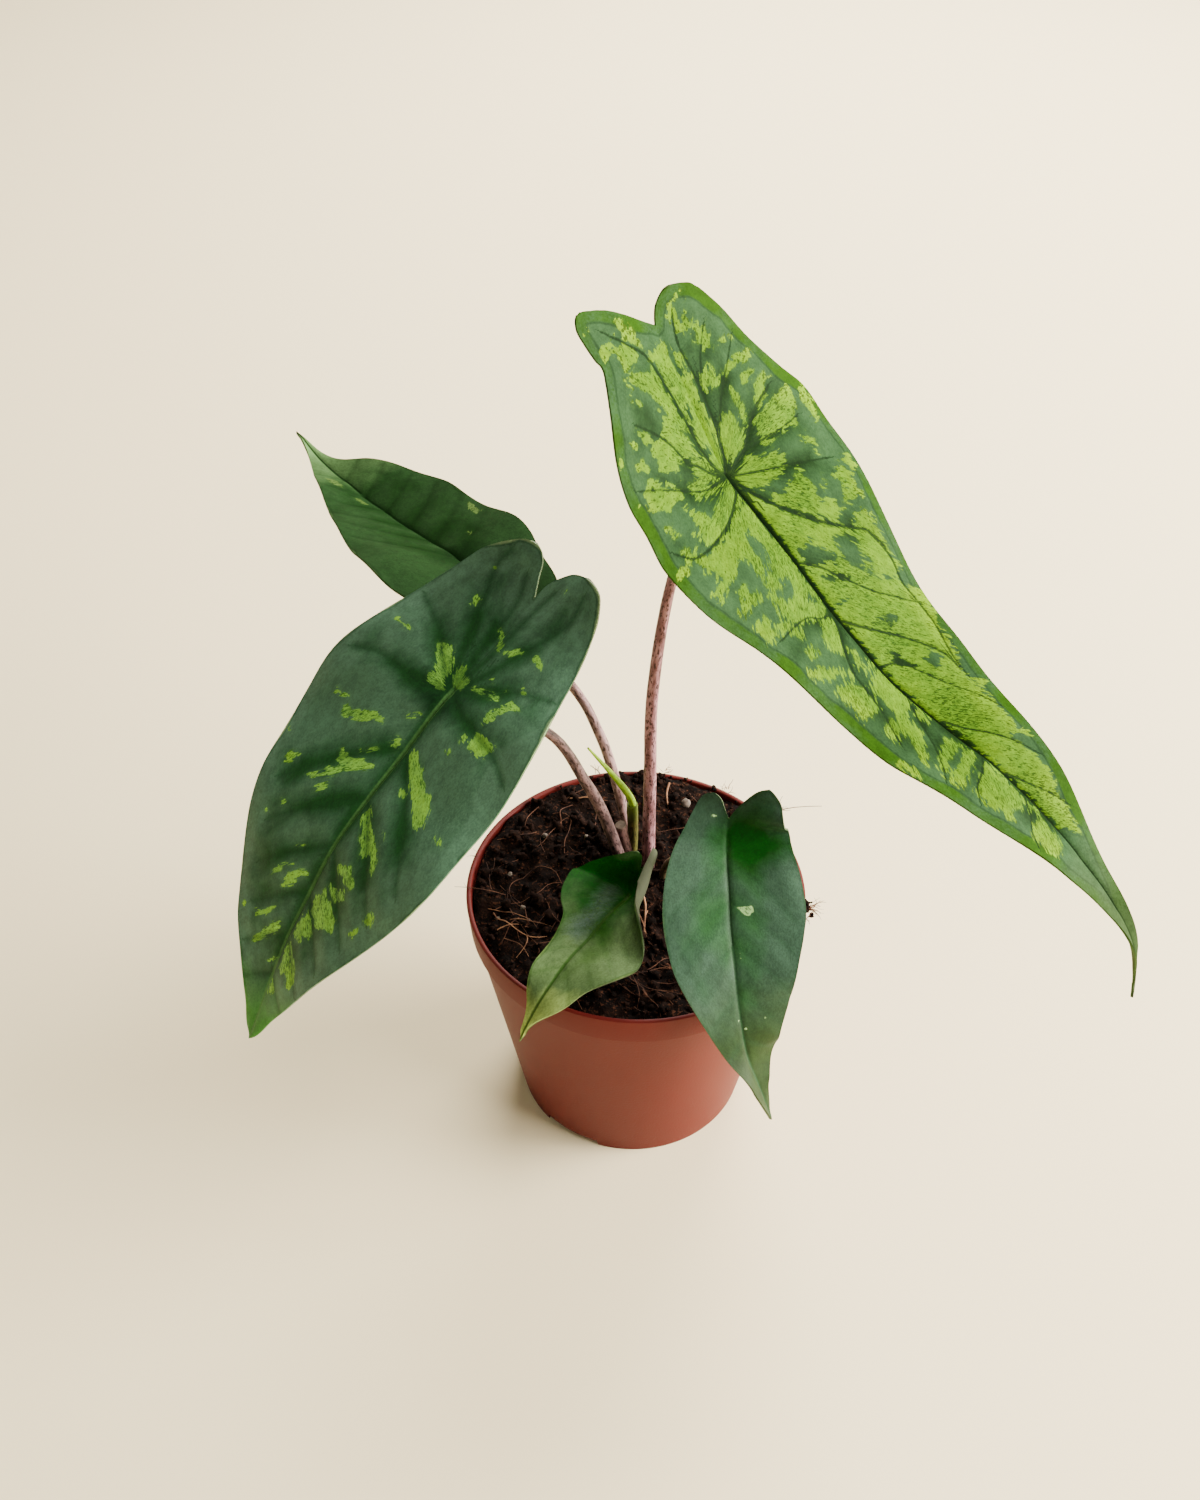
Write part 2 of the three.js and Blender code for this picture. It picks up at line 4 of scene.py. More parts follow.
import bpy
import numpy as np
from mathutils import Matrix, Vector, noise


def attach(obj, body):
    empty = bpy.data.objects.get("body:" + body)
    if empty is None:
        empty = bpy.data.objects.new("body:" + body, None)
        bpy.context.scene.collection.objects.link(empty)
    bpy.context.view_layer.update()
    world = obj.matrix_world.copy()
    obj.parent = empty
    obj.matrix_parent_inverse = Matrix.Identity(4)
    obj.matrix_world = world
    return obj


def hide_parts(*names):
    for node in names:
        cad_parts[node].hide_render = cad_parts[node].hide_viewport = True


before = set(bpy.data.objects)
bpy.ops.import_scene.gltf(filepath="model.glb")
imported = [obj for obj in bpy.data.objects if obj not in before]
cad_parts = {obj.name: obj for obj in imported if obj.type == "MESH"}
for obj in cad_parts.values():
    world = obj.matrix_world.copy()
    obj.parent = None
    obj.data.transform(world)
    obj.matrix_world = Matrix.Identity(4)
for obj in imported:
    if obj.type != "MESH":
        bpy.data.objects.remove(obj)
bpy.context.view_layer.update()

MM = 0.001
chance = random.Random(7)

# Nursery pot. A thin injection-moulded polypropylene pot in terracotta colour,
# with a slightly proud rim band, a raised floor with drain holes, and a foot
# ring with three low slots.

POT_PROFILE = [
    (0, 0), (10, 0), (11.6, 3.2), (39.2, 3.2), (40.2, 0), (42.2, 0), (57.6, 86.3),
    (59, 87.1), (59.85, 97.6), (59.75, 98.05), (59.4, 98.25), (58.7, 98.3),
    (58.3, 98.15), (58.05, 97.8), (57.6, 87.9), (56.4, 86.1), (41.8, 4.4), (11, 4.4),
    (9.4, 1.2), (0, 1.2),
]
FOOT_RADIUS = 42.2
SLOTS, SLOT_ANGLE, SLOT_WIDTH, SLOT_HEIGHT = 3, 237.3, 22, 3
DRAIN_HOLES, DRAIN_RADIUS, DRAIN_CIRCLE = 8, 3, 27


def linear(colour):
    channels = [int(colour[i:i + 2], 16) / 255 for i in (1, 3, 5)]
    bright = [c / 12.92 if c <= 0.04045 else ((c + 0.055) / 1.055) ** 2.4 for c in channels]
    return (*bright, 1)


def add(tree, kind, inputs, **settings):
    """Adds a node. An input is a value, a socket, or a node for its first live output."""
    made = tree.nodes.new("ShaderNode" + kind)
    for key, value in settings.items():
        setattr(made, key, value)
    for key, value in inputs.items():
        if isinstance(value, bpy.types.Node):
            value = next(socket for socket in value.outputs if socket.enabled)
        if isinstance(value, bpy.types.NodeSocket):
            tree.links.new(value, made.inputs[key])
        else:
            made.inputs[key].default_value = value
    return made


def start_material(name, **sockets):
    made = bpy.data.materials.new(name)
    made.use_nodes = True
    shader = made.node_tree.nodes["Principled BSDF"]
    for socket, value in sockets.items():
        shader.inputs[socket.replace("_", " ")].default_value = value
    return made, made.node_tree, shader


def read(items, key):
    """Three numbers for each item of a mesh, such as a corner's place, as rows."""
    found = np.empty(len(items) * 3)
    items.foreach_get(key, found)
    return found.reshape(-1, 3)


def keep(mesh, name, values):
    """Keeps one number or three for each corner as an attribute that a material reads."""
    values = np.asarray(values, float)
    if name in mesh.attributes:
        mesh.attributes.remove(mesh.attributes[name])
    kind, key = ("FLOAT", "value") if values.ndim == 1 else ("FLOAT_VECTOR", "vector")
    mesh.attributes.new(name, kind, "POINT").data.foreach_set(key, values.ravel())


def only(piece):
    bpy.ops.object.select_all(action="DESELECT")
    piece.select_set(True)
    bpy.context.view_layer.objects.active = piece


def turned(name, profile, steps):
    """A shape of revolution: one point drawn along the profile, then spun round."""
    bpy.ops.object.select_all(action="DESELECT")
    bpy.ops.mesh.primitive_plane_add(size=MM)
    piece = bpy.context.object
    piece.name = name
    bpy.ops.object.mode_set(mode="EDIT")
    bpy.ops.mesh.select_mode(type="VERT")
    bpy.ops.mesh.select_all(action="SELECT")
    bpy.ops.mesh.merge(type="CENTER")
    last = Vector((0, 0, 0))
    for i, (r, z) in enumerate(profile):
        here = Vector((r * MM, 0, z * MM))
        if i == 0:
            bpy.ops.transform.translate(value=here - last)
        else:
            move = {"value": here - last}
            bpy.ops.mesh.extrude_region_move(TRANSFORM_OT_translate=move)
        last = here
    bpy.ops.mesh.select_all(action="SELECT")
    bpy.ops.mesh.spin(steps=steps, angle=2 * math.pi, center=(0, 0, 0), axis=(0, 0, 1))
    bpy.ops.mesh.select_all(action="SELECT")
    bpy.ops.mesh.remove_doubles(threshold=1e-6)
    bpy.ops.mesh.normals_make_consistent(inside=False)
    bpy.ops.object.mode_set(mode="OBJECT")
    return piece


def apply_modifier(piece, kind, **settings):
    only(piece)
    modifier = piece.modifiers.new(kind.lower(), kind)
    for key, value in settings.items():
        setattr(modifier, key, value)
    bpy.ops.object.modifier_apply(modifier=modifier.name)


pot = turned("nursery_pot", POT_PROFILE, 144)

bpy.ops.object.select_all(action="DESELECT")
cutters = []
for i in range(SLOTS):
    angle = math.radians(SLOT_ANGLE + 360 / SLOTS * i)
    at = (FOOT_RADIUS * MM * math.cos(angle), FOOT_RADIUS * MM * math.sin(angle), 0)
    bpy.ops.mesh.primitive_cube_add(size=1, location=at, rotation=(0, 0, angle),
                                    scale=(14 * MM, SLOT_WIDTH * MM, 2 * SLOT_HEIGHT * MM))
    cutters.append(bpy.context.object)
for i in range(DRAIN_HOLES):
    angle = (i + 0.5) / DRAIN_HOLES * 2 * math.pi
    at = (DRAIN_CIRCLE * MM * math.cos(angle), DRAIN_CIRCLE * MM * math.sin(angle), 4 * MM)
    bpy.ops.mesh.primitive_cylinder_add(vertices=20, radius=DRAIN_RADIUS * MM,
                                        depth=12 * MM, location=at)
    cutters.append(bpy.context.object)
for cutter in cutters:
    cutter.select_set(True)
bpy.ops.object.join()
cutter = bpy.context.object
apply_modifier(pot, "BOOLEAN", object=cutter, operation="DIFFERENCE", solver="EXACT")
bpy.data.objects.remove(cutter)
only(pot)
bpy.ops.object.shade_smooth_by_angle(angle=math.radians(28))

# Moulded polypropylene: a matt satin skin, colour a little uneven from the
# pigment, with fine flow marks up the wall and dust of peat near the rim. The
# mould's grain is too fine to show, so it is drawn coarser, at 0.7 mm.
plastic, tree, shader = start_material("moulded_polypropylene_terracotta", Roughness=0.5,
                                       IOR=1.49, Specular_IOR_Level=0.12)
place = add(tree, "TexCoord", {}).outputs["Object"]
apart = add(tree, "SeparateXYZ", {0: place})
cloudy = add(tree, "TexNoise", {"Vector": place, "Scale": 55.0, "Detail": 3.0, "Roughness": 0.6})
flow = add(tree, "Mapping", {0: place, "Scale": (260.0, 260.0, 22.0)})
flow = add(tree, "TexNoise", {"Vector": flow, "Scale": 1.0, "Detail": 2.0})
tint = add(tree, "Mix", {0: cloudy, 6: linear("#541916"), 7: linear("#5f1e1a")}, data_type="RGBA")
tint = add(tree, "Mix", {0: flow, 6: tint, 7: linear("#5d1c17")}, data_type="RGBA")
dust = add(tree, "TexNoise", {"Vector": place, "Scale": 900.0, "Detail": 4.0})
near_rim = add(tree, "MapRange", {"Value": apart.outputs["Z"], "From Min": 0.06, "From Max": 0.1})
dust_level = add(tree, "Math", {0: dust, 1: near_rim}, operation="MULTIPLY")
dust_mask = add(tree, "MapRange", {"Value": dust_level, "From Min": 0.62,
                                   "From Max": 0.7, "To Max": 0.7})
skin = add(tree, "Mix", {0: dust_mask, 6: tint, 7: linear("#392017")}, data_type="RGBA")
tree.links.new(skin.outputs[2], shader.inputs["Base Color"])
grit = add(tree, "TexNoise", {"Vector": place, "Scale": 1400.0, "Detail": 2.0})
relief = add(tree, "Bump", {"Strength": 0.25, "Distance": 0.0002, "Height": grit})
tree.links.new(relief.outputs[0], shader.inputs["Normal"])
pot.data.materials.append(plastic)
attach(pot, "root")
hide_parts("pot")

# Potting soil. Dark peat and coir that fills the pot, lower at the front and
# heaped at the back, broken into crumbs, with a few white perlite grains. Each
# stalk stands in a small hollow of it: its place, and the hollow's reach in mm.

SOIL_RIM, SOIL_TOP, SOIL_HEAP = 57.3, 94, 5
STEM_FEET = [(4.6, 13, 3.2), (-3.8, 9.6, 3), (-1.8, 22.9, 2.8), (9.6, 8.2, 2.5),
             (0.9, 5, 2.4), (-1, 18, 2.6), (-1.8, 14, 2.4)]


def ground(x, y):
    """Height of the soil in mm: heaped at the back, with lumps, clods and crumbs."""
    share = min(max((y + 35) / 85, 0), 1)
    level = SOIL_TOP + SOIL_HEAP * share * share * (3 - 2 * share)
    lumps = 0.9 * math.sin(x * 0.31 + 1.3 * math.sin(y * 0.17)) * math.cos(y * 0.27 + 0.8)
    crumbs = 0.5 * math.sin(x * 0.73 - y * 0.41) * math.cos(y * 0.66 + x * 0.2)
    clod = noise.voronoi(Vector((x / 5.5, y / 5.5, 2.0)))[0][0] * 1.5
    small = noise.voronoi(Vector((x / 2.1, y / 2.1, 5.0)))[0][0]
    rough = noise.noise(Vector((x / 1.3, y / 1.3, 8.0)))
    return level + lumps + crumbs + 1.3 * (0.45 - clod) + 0.7 * (0.4 - small) + 0.35 * rough


rings = [(r, 95) for r in np.arange(56.4, 0.1, -0.94)]
soil_profile = [(0, 4.7), (41.5, 4.7), (56.1, 85.8), (SOIL_RIM, 88.3), (SOIL_RIM, 93)]
soil = turned("peat_soil", soil_profile + rings + [(0, 95)], 240)
shape = read(soil.data.vertices, "co")
for point in shape:
    x, y, z = point / MM
    if z > 92:
        edge = min(max((math.hypot(x, y) - 54.5) / 2.8, 0), 1)
        point[2] = (ground(x, y) - 1.2 * edge) * MM
        for foot_x, foot_y, reach in STEM_FEET:
            away = math.hypot(x - foot_x, y - foot_y)
            point[2] -= 0.9 * MM * math.exp(-((away / reach) ** 4))
soil.data.vertices.foreach_set("co", shape.ravel())
soil.data.update()
only(soil)
bpy.ops.object.shade_smooth_by_angle(angle=math.radians(60))

# Moist peat: nearly black, reddish brown where the fibres are dry.
peat, tree, shader = start_material("moist_peat", Roughness=0.95, IOR=1.35,
                                    Specular_IOR_Level=0.1)
place = add(tree, "TexCoord", {}).outputs["Object"]
clods = add(tree, "TexNoise", {"Vector": place, "Scale": 160.0, "Detail": 5.0, "Roughness": 0.65})
specks = add(tree, "TexNoise", {"Vector": place, "Scale": 700.0, "Detail": 3.0, "Roughness": 0.7})
dry = add(tree, "MapRange", {"Value": clods, "From Min": 0.42, "From Max": 0.68})
bits = add(tree, "MapRange", {"Value": specks, "From Min": 0.56, "From Max": 0.68})
brown = add(tree, "Mix", {0: dry, 6: linear("#0b0706"), 7: linear("#1e120d")}, data_type="RGBA")
brown = add(tree, "Mix", {0: bits, 6: brown, 7: linear("#4a2d1f")}, data_type="RGBA")
tree.links.new(brown.outputs[2], shader.inputs["Base Color"])
relief = add(tree, "Bump", {"Strength": 0.9, "Distance": 0.0012, "Height": specks})
tree.links.new(relief.outputs[0], shader.inputs["Normal"])
soil.data.materials.append(peat)
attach(soil, "root")
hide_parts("soil")


def over_soil(count, low, high, reach, sink):
    """Places strewn over the soil, sunk by a share of their size; most are small."""
    places = []
    for _ in range(count):
        angle, out = chance.uniform(0, 2 * math.pi), reach * math.sqrt(chance.random())
        x, y = out * math.cos(angle), out * math.sin(angle)
        size = low + (high - low) * chance.random() ** 2.5
        places.append((x, y, ground(x, y) + size * (0.35 - sink), size))
    return places


def scatter(name, places, rough, flatness):
    """One knobbly grain, copied to each (x, y, z, size) with its own lumps and turn."""
    bpy.ops.object.select_all(action="DESELECT")
    bpy.ops.mesh.primitive_ico_sphere_add(subdivisions=2, radius=1)
    grain = bpy.context.object
    corners = np.array([list(v.co) for v in grain.data.vertices])
    faces = np.array([list(p.vertices) for p in grain.data.polygons])
    bpy.data.objects.remove(grain)
    points, shells, tones = [], [], []
    for i, (x, y, z, size) in enumerate(places):
        shift = Vector((i * 3.1, 0, 0))
        bumps = [1 + rough * noise.noise(Vector(c * 1.6) + shift) for c in corners]
        spin = Matrix.Rotation(chance.uniform(0, 6.3), 3, Vector((chance.random(), 1, 1)))
        squash = np.array([1, chance.uniform(0.6, 1), chance.uniform(*flatness)])
        shell = (corners * np.array(bumps)[:, None] * squash * size) @ np.array(spin)
        points.append((shell + (x, y, z)) * MM)
        shells.append(faces + len(corners) * i)
        tones.append(np.full(len(corners), chance.random()))
    mesh = bpy.data.meshes.new(name)
    mesh.from_pydata(np.concatenate(points).tolist(), [], np.concatenate(shells).tolist())
    keep(mesh, "tone", np.concatenate(tones))
    piece = bpy.data.objects.new(name, mesh)
    bpy.context.collection.objects.link(piece)
    only(piece)
    bpy.ops.object.shade_smooth()
    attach(piece, "root")
    return piece


# Peat heaped over the back of the rim, and two clumps that cling to it at the right
LIP_TOP, LIP_RADIUS, CLUMP_ANGLES = 98.3, 58.2, (-9, 36)
crumb_places = over_soil(800, 0.5, 2.3, 55.5, 0.3) + over_soil(60, 1.8, 3.4, 52, 0.5)
for i in range(130):
    angle = math.radians(chance.uniform(76, 104) if i % 4 else chance.uniform(40, 130))
    out, size = chance.uniform(53.5, 58.5), 0.3 + 1.2 * chance.random() ** 2
    crumb_places.append((out * math.cos(angle), out * math.sin(angle),
                         LIP_TOP - 0.1 + chance.uniform(0, 0.8) * size, size))
for i in range(150):
    angle = math.radians(CLUMP_ANGLES[i % 2] + chance.gauss(0, 2.2))
    out, size = LIP_RADIUS + abs(chance.gauss(0, 1.7)), 0.3 + 0.7 * chance.random() ** 2
    crumb_places.append((out * math.cos(angle), out * math.sin(angle),
                         LIP_TOP + abs(chance.gauss(0, 0.6 + 0.7 * (i % 2))), size))
crumbs = scatter("peat_crumbs", crumb_places, 0.9, (0.5, 1))
perlite_places = over_soil(20, 0.5, 1.1, 50, 0)
for x, y, lift, size in ((-32.8, 25.3, 0, 1.4), (-39.7, -6.4, 0, 1.2), (19, 41, 1, 1.9)):
    perlite_places.append((x, y, ground(x, y) + lift, size))
perlite = scatter("perlite_grains", perlite_places, 0.6, (0.6, 1))

crumb, tree, shader = start_material("peat_crumb", Roughness=0.95, IOR=1.35,
                                     Specular_IOR_Level=0.1)
tone = add(tree, "Attribute", {}, attribute_name="tone").outputs["Fac"]
place = add(tree, "TexCoord", {}).outputs["Object"]
grain = add(tree, "TexNoise", {"Vector": place, "Scale": 900.0, "Detail": 3.0})
brown = add(tree, "Mix", {0: tone, 6: linear("#060403"), 7: linear("#1d110c")}, data_type="RGBA")
dusty = add(tree, "MapRange", {"Value": grain, "From Min": 0.55, "From Max": 0.75})
brown = add(tree, "Mix", {0: dusty, 6: brown, 7: linear("#372117")}, data_type="RGBA")
tree.links.new(brown.outputs[2], shader.inputs["Base Color"])
relief = add(tree, "Bump", {"Strength": 0.8, "Distance": 0.0006, "Height": grain})
tree.links.new(relief.outputs[0], shader.inputs["Normal"])
crumbs.data.materials.append(crumb)

# Expanded perlite: a white, glassy foam, stained by the peat.
foam, tree, shader = start_material("expanded_perlite", Roughness=0.85, IOR=1.5)
place = add(tree, "TexCoord", {}).outputs["Object"]
stain = add(tree, "TexNoise", {"Vector": place, "Scale": 1100.0, "Detail": 2.0})
white = add(tree, "Mix", {0: stain, 6: linear("#40342d"), 7: linear("#84766a")}, data_type="RGBA")
tree.links.new(white.outputs[2], shader.inputs["Base Color"])
perlite.data.materials.append(foam)

# Coir fibres and old roots. Thin reddish brown strands that lie in loose
# curves on the soil, some arched, a few hanging over the rim of the pot.


def strands(name, runs, colours):
    """Round strands through lists of (x, y, z, radius), made as one bevelled curve."""
    curve = bpy.data.curves.new(name, "CURVE")
    curve.dimensions = "3D"
    curve.bevel_depth = MM
    curve.bevel_resolution = 1
    curve.resolution_u = 2
    curve.use_fill_caps = True
    for run in runs:
        spline = curve.splines.new("NURBS")
        spline.points.add(len(run) - 1)
        spline.order_u = 4
        spline.use_endpoint_u = True
        for point, (x, y, z, radius) in zip(spline.points, run):
            point.co = (x * MM, y * MM, z * MM, 1)
            point.radius = radius
    piece = bpy.data.objects.new(name, curve)
    bpy.context.collection.objects.link(piece)
    only(piece)
    bpy.ops.object.convert(target="MESH")
    piece = bpy.context.object
    bpy.ops.object.shade_smooth()
    fibre, tree, shader = start_material(name + "_bark", Roughness=0.85, IOR=1.4)
    place = add(tree, "TexCoord", {}).outputs["Object"]
    patchy = add(tree, "TexNoise", {"Vector": place, "Scale": 170.0, "Detail": 3.0})
    spread = add(tree, "MapRange", {"Value": patchy, "From Min": 0.35, "From Max": 0.65})
    tint = add(tree, "Mix", {0: spread, 6: linear(colours[0]), 7: linear(colours[1])},
               data_type="RGBA")
    tree.links.new(tint.outputs[2], shader.inputs["Base Color"])
    piece.data.materials.append(fibre)
    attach(piece, "root")
    return piece


STRIDE = 3


def creeping(x, y, heading, length, radius, wander, arch):
    """A strand that lies along the soil inside the pot, lifted in an arch."""
    run = []
    steps = max(int(length / STRIDE), 3)
    for i in range(steps + 1):
        if math.hypot(x, y) > SOIL_RIM - 1.3:
            break
        lift = arch * math.sin(math.pi * i / steps)
        run.append((x, y, ground(x, y) + 0.2 + lift, radius * (1 - 0.5 * i / steps)))
        heading += chance.uniform(-wander, wander)
        x += STRIDE * math.cos(heading)
        y += STRIDE * math.sin(heading)
    return run


def hair(x, y, z, heading, length, radius):
    """A strand that wanders freely through the air."""
    run = []
    for i in range(6):
        run.append((x, y, z, radius * (1 - 0.12 * i)))
        heading += chance.uniform(-0.5, 0.5)
        x += length / 5 * math.cos(heading)
        y += length / 5 * math.sin(heading)
        z += chance.uniform(-0.3, 0.35) * length / 5
    return run


coir = []
while len(coir) < 95:
    angle, out = chance.uniform(0, 6.3), 54 * math.sqrt(chance.random())
    run = creeping(out * math.cos(angle), out * math.sin(angle), chance.uniform(0, 6.3),
                   chance.uniform(6, 30), chance.uniform(0.08, 0.2), 0.7,
                   chance.uniform(0, 1.5))
    if len(run) > 2:
        coir.append(run)
# Fans of hairs that stand over the rim
for x, y, heading, count, length in ((50, 37, 0.6, 16, 8), (60, -9, -0.1, 16, 6),
                                     (57.5, -15, -0.4, 4, 5), (12, 58.4, 1.3, 7, 5),
                                     (-14, 57.9, 1.9, 6, 5), (34, 49, 1.0, 8, 5),
                                     (-57, 15, 2.8, 3, 4), (-59, -1, 3.1, 1, 4)):
    for i in range(count):
        coir.append(hair(x + chance.uniform(-1.5, 1.5), y + chance.uniform(-1.5, 1.5), 99,
                         heading + chance.uniform(-0.9, 0.9), length * chance.uniform(0.5, 1.2),
                         chance.uniform(0.08, 0.17)))
coir.append([(-46, -1.7, 96, 0.14), (-50, -1.6, 98, 0.14), (-57, -0.9, 99.2, 0.12),
             (-64, -0.3, 98.6, 0.07)])
coir.append([(47, 36, 98, 0.2), (52, 38, 100.6, 0.2), (60, 39.2, 100.6, 0.16),
             (69, 39.8, 100, 0.1)])
strands("coir_fibres", coir, ("#2c170f", "#6e452e"))

# Pale dead roots: a curly tuft at the left, and thick strands in the middle
roots = []
for x, y, heading, length in ((-52, -7, -0.7, 22), (-50, -9, -0.9, 26), (-49, -17, 0.2, 14),
                              (-44, -13, -0.4, 16), (-46, -20, -0.3, 13), (-38, -18, -1.1, 12)):
    roots.append(creeping(x, y, heading, length, chance.uniform(0.16, 0.26), 0.55,
                          chance.uniform(0.8, 2)))
for x, y, heading, length, radius in ((1.6, 4, -1.4, 27, 0.5), (-0.5, -5, -1.2, 18, 0.35),
                                      (4, -8, -1.7, 16, 0.3), (13, 52, -1.7, 13, 0.45),
                                      (-24, 44, -0.4, 12, 0.3), (28, 30, -2.2, 12, 0.3)):
    roots.append(creeping(x, y, heading, length, radius, 0.25, 1.2))
strands("dead_roots", [run for run in roots if len(run) > 2], ("#5c3a26", "#a87a58"))

# Petioles. Five fleshy leaf stalks, pinkish brown with dark flecks, each
# growing from the hidden corm and swelling a little where it meets the blade.

LEAVES = {
    "tall_right": dict(
        spine=[(-6.3, 16.9, 327.7), (11.5, 6.6, 293), (23, 0, 271.9), (39.3, -9.4, 254.7),
               (60.7, -21.8, 230.8), (81, -33.5, 214), (103.1, -46.3, 202.4),
               (122.4, -57.4, 186.8), (139.5, -67.3, 168.1), (147.6, -72, 154.5),
               (150.7, -73.8, 142.2), (152, -74.5, 131.3)],
        joint=2, roll=-4, fold=10, curl=-14, ripple=0.9, wave=46, rib=1.4,
        outline=[(211.7, 0, 0), (205, 1.1, 1), (196, 1.8, 1.6), (188, 2.4, 2.5),
                 (177, 3.2, 3.9), (165, 5.4, 6.6), (153, 9.2, 11.3), (141, 13, 15.2),
                 (129, 16.8, 18.4), (112, 22, 22.6), (93, 26.8, 26.6), (75, 31, 27.4),
                 (57, 36, 30.6), (40, 39.5, 34.4), (21, 46.5, 41.4), (6, 47, 43.4),
                 (-5, 45, 41.2), (-15, 39, 41), (-27, 32.5, 38.8), (-39, 26.5, 33.8),
                 (-48, 20.6, 29)],
        notch=-48,
        left_lobe=[(-48, 0, 20.6), (-50.5, 1.4, 18.6), (-53, 3.6, 15.8), (-55.1, 8.6, 8.6)],
        right_lobe=[(-48, 0, 29), (-52, 5.6, 29.5), (-57, 12, 30), (-61.5, 19, 30),
                    (-64.4, 27, 27)]),
    "front_left": dict(
        spine=[(-26.5, 5.5, 234.7), (-35, -1.4, 225.4), (-45, -9.5, 217), (-58, -20, 206.9),
               (-73.6, -32.7, 191.4), (-93.1, -48.4, 170.4), (-109.9, -62, 141.2),
               (-124.2, -73.7, 106.7)],
        joint=3, roll=0, fold=8, curl=-10, ripple=1, wave=52, rib=1.4,
        outline=[(133.6, 0, 0), (130, 2.8, 3.4), (122, 6.4, 6.6), (110, 13.6, 14),
                 (98, 20.3, 23.6), (80, 29.8, 33.4), (58, 40, 40.4), (46, 43, 43),
                 (30, 43, 46.6), (14, 42.6, 47), (-4, 40.5, 41.4), (-20, 34.8, 36),
                 (-38, 28.4, 27.6)],
        notch=-38,
        left_lobe=[(-38, 0, 28.4), (-44, 1.5, 26.4), (-49, 5.5, 23.2), (-51.5, 9, 20),
                   (-52.6, 14.5, 14.5)],
        right_lobe=[(-38, 0, 27.6), (-44, 3.2, 23), (-48, 5, 18.6), (-50.5, 7.5, 15),
                    (-51.6, 11, 11)]),
    "back_left": dict(
        spine=[(-39.6, 31.8, 196.2), (-47.9, 45.2, 195.4), (-62.4, 68.4, 190.6),
               (-72.6, 84.7, 185.4), (-90, 112.5, 176.1), (-108.7, 142.5, 168.6),
               (-123.6, 166.3, 164), (-136.9, 187.5, 164.9)],
        joint=2, roll=-6, fold=16, curl=-10, ripple=1, wave=48, rib=1.2,
        outline=[(143.9, 0, 0), (135, 1.6, 1.5), (125, 3.6, 3.4), (114, 7, 7), (105, 10, 14),
                 (88, 15, 22), (70, 20, 26.5), (45, 27, 27), (18, 33, 28.5), (-4, 36.5, 27),
                 (-20, 36.5, 22.5), (-35, 32, 18.5)],
        notch=-35,
        left_lobe=[(-35, 0, 32), (-43, 3, 28), (-49, 8, 23), (-52, 14, 14)],
        right_lobe=[(-35, 0, 18.5), (-42, 2.5, 16), (-47, 5, 13), (-50, 8.5, 8.5)]),
    "small_right": dict(
        spine=[(32.6, 0, 145.6), (30.4, -5, 138.7), (29.7, -11, 134.3), (29.5, -18, 131.3),
               (29.9, -28, 127), (30.3, -39.5, 121.5), (31.5, -50, 115), (32.8, -58.5, 106.3),
               (35.6, -66.5, 91.7), (40.4, -70.5, 79.4), (45.3, -73.5, 64.3)],
        joint=3, roll=0, fold=8, curl=-10, ripple=0.7, wave=40, rib=1,
        outline=[(95.3, 0, 0), (89, 2, 2.4), (82, 3.4, 4), (78, 5.4, 4.4), (70, 10.4, 5.8),
                 (59, 13.6, 10.2), (48, 17.2, 15.3), (38, 20.3, 20), (28, 23.5, 21.8),
                 (18, 25, 22.4), (6, 23.8, 21), (-4, 21.8, 17.6), (-15, 20, 12.4)],
        notch=-15,
        left_lobe=[(-15, 0, 20), (-20, 2.5, 19), (-24.5, 5.5, 16.3), (-27, 8, 13.6),
                   (-28.2, 11, 11)],
        right_lobe=[(-15, 0, 12.4), (-18, 2.2, 11.4), (-20.5, 4.2, 9.8), (-21.6, 7, 7)]),
    "youngest": dict(
        spine=[(1.3, 0, 107.5), (-2.7, -9, 103.8), (-10.1, -22, 108), (-16.7, -33, 108.4),
               (-23.2, -44, 110.4), (-29.6, -54.5, 108.4), (-34.4, -60, 102.3),
               (-38.8, -63, 92.2)],
        joint=1, roll=0, fold=8, curl=-8, ripple=0.9, wave=23, rib=1,
        outline=[(75, 0, 0), (70, 1.2, 1.2), (64, 3.4, 3), (57, 8.3, 6.4), (50, 12, 8.6),
                 (43, 18.3, 9), (37, 21.4, 9.5), (30, 21.4, 10.6), (24, 19.6, 12.6),
                 (18, 17, 17.3), (11, 14.5, 20.5), (0, 12.5, 21.8), (-7, 11.5, 18.6),
                 (-11, 10.5, 13)],
        notch=-11,
        left_lobe=[(-11, 0, 10.5), (-14, 2, 10), (-17, 4, 8.6), (-18.5, 6.2, 6.2)],
        right_lobe=[(-11, 0, 13), (-13.5, 0.6, 9), (-15.5, 1.2, 6), (-16.5, 3, 3)],
        hem=[(26, 19, 5), (22, 14, 60), (15, 8, 130), (8, 4.5, 150), (0, 2.5, 155),
             (-19, 1.5, 150)], hem_end=26),
}
BLADE_THICKNESS = 0.8


def through(points, u):
    """Places on the smooth curve through the points; u counts the points from 0."""
    points = np.array(points, float)
    last = len(points) - 1
    ends = np.vstack([2 * points[0] - points[1], points, 2 * points[-1] - points[-2]])
    u = np.clip(np.atleast_1d(np.asarray(u, float)), 0, last)
    k = np.minimum(np.floor(u).astype(int), last - 1)
    w = (u - k)[:, None]
    a, b, c, d = ends[k], ends[k + 1], ends[k + 2], ends[k + 3]
    return 0.5 * (2 * b + (c - a) * w + (2 * a - 5 * b + 4 * c - d) * w ** 2
                  + (3 * b - 3 * c + d - a) * w ** 3)


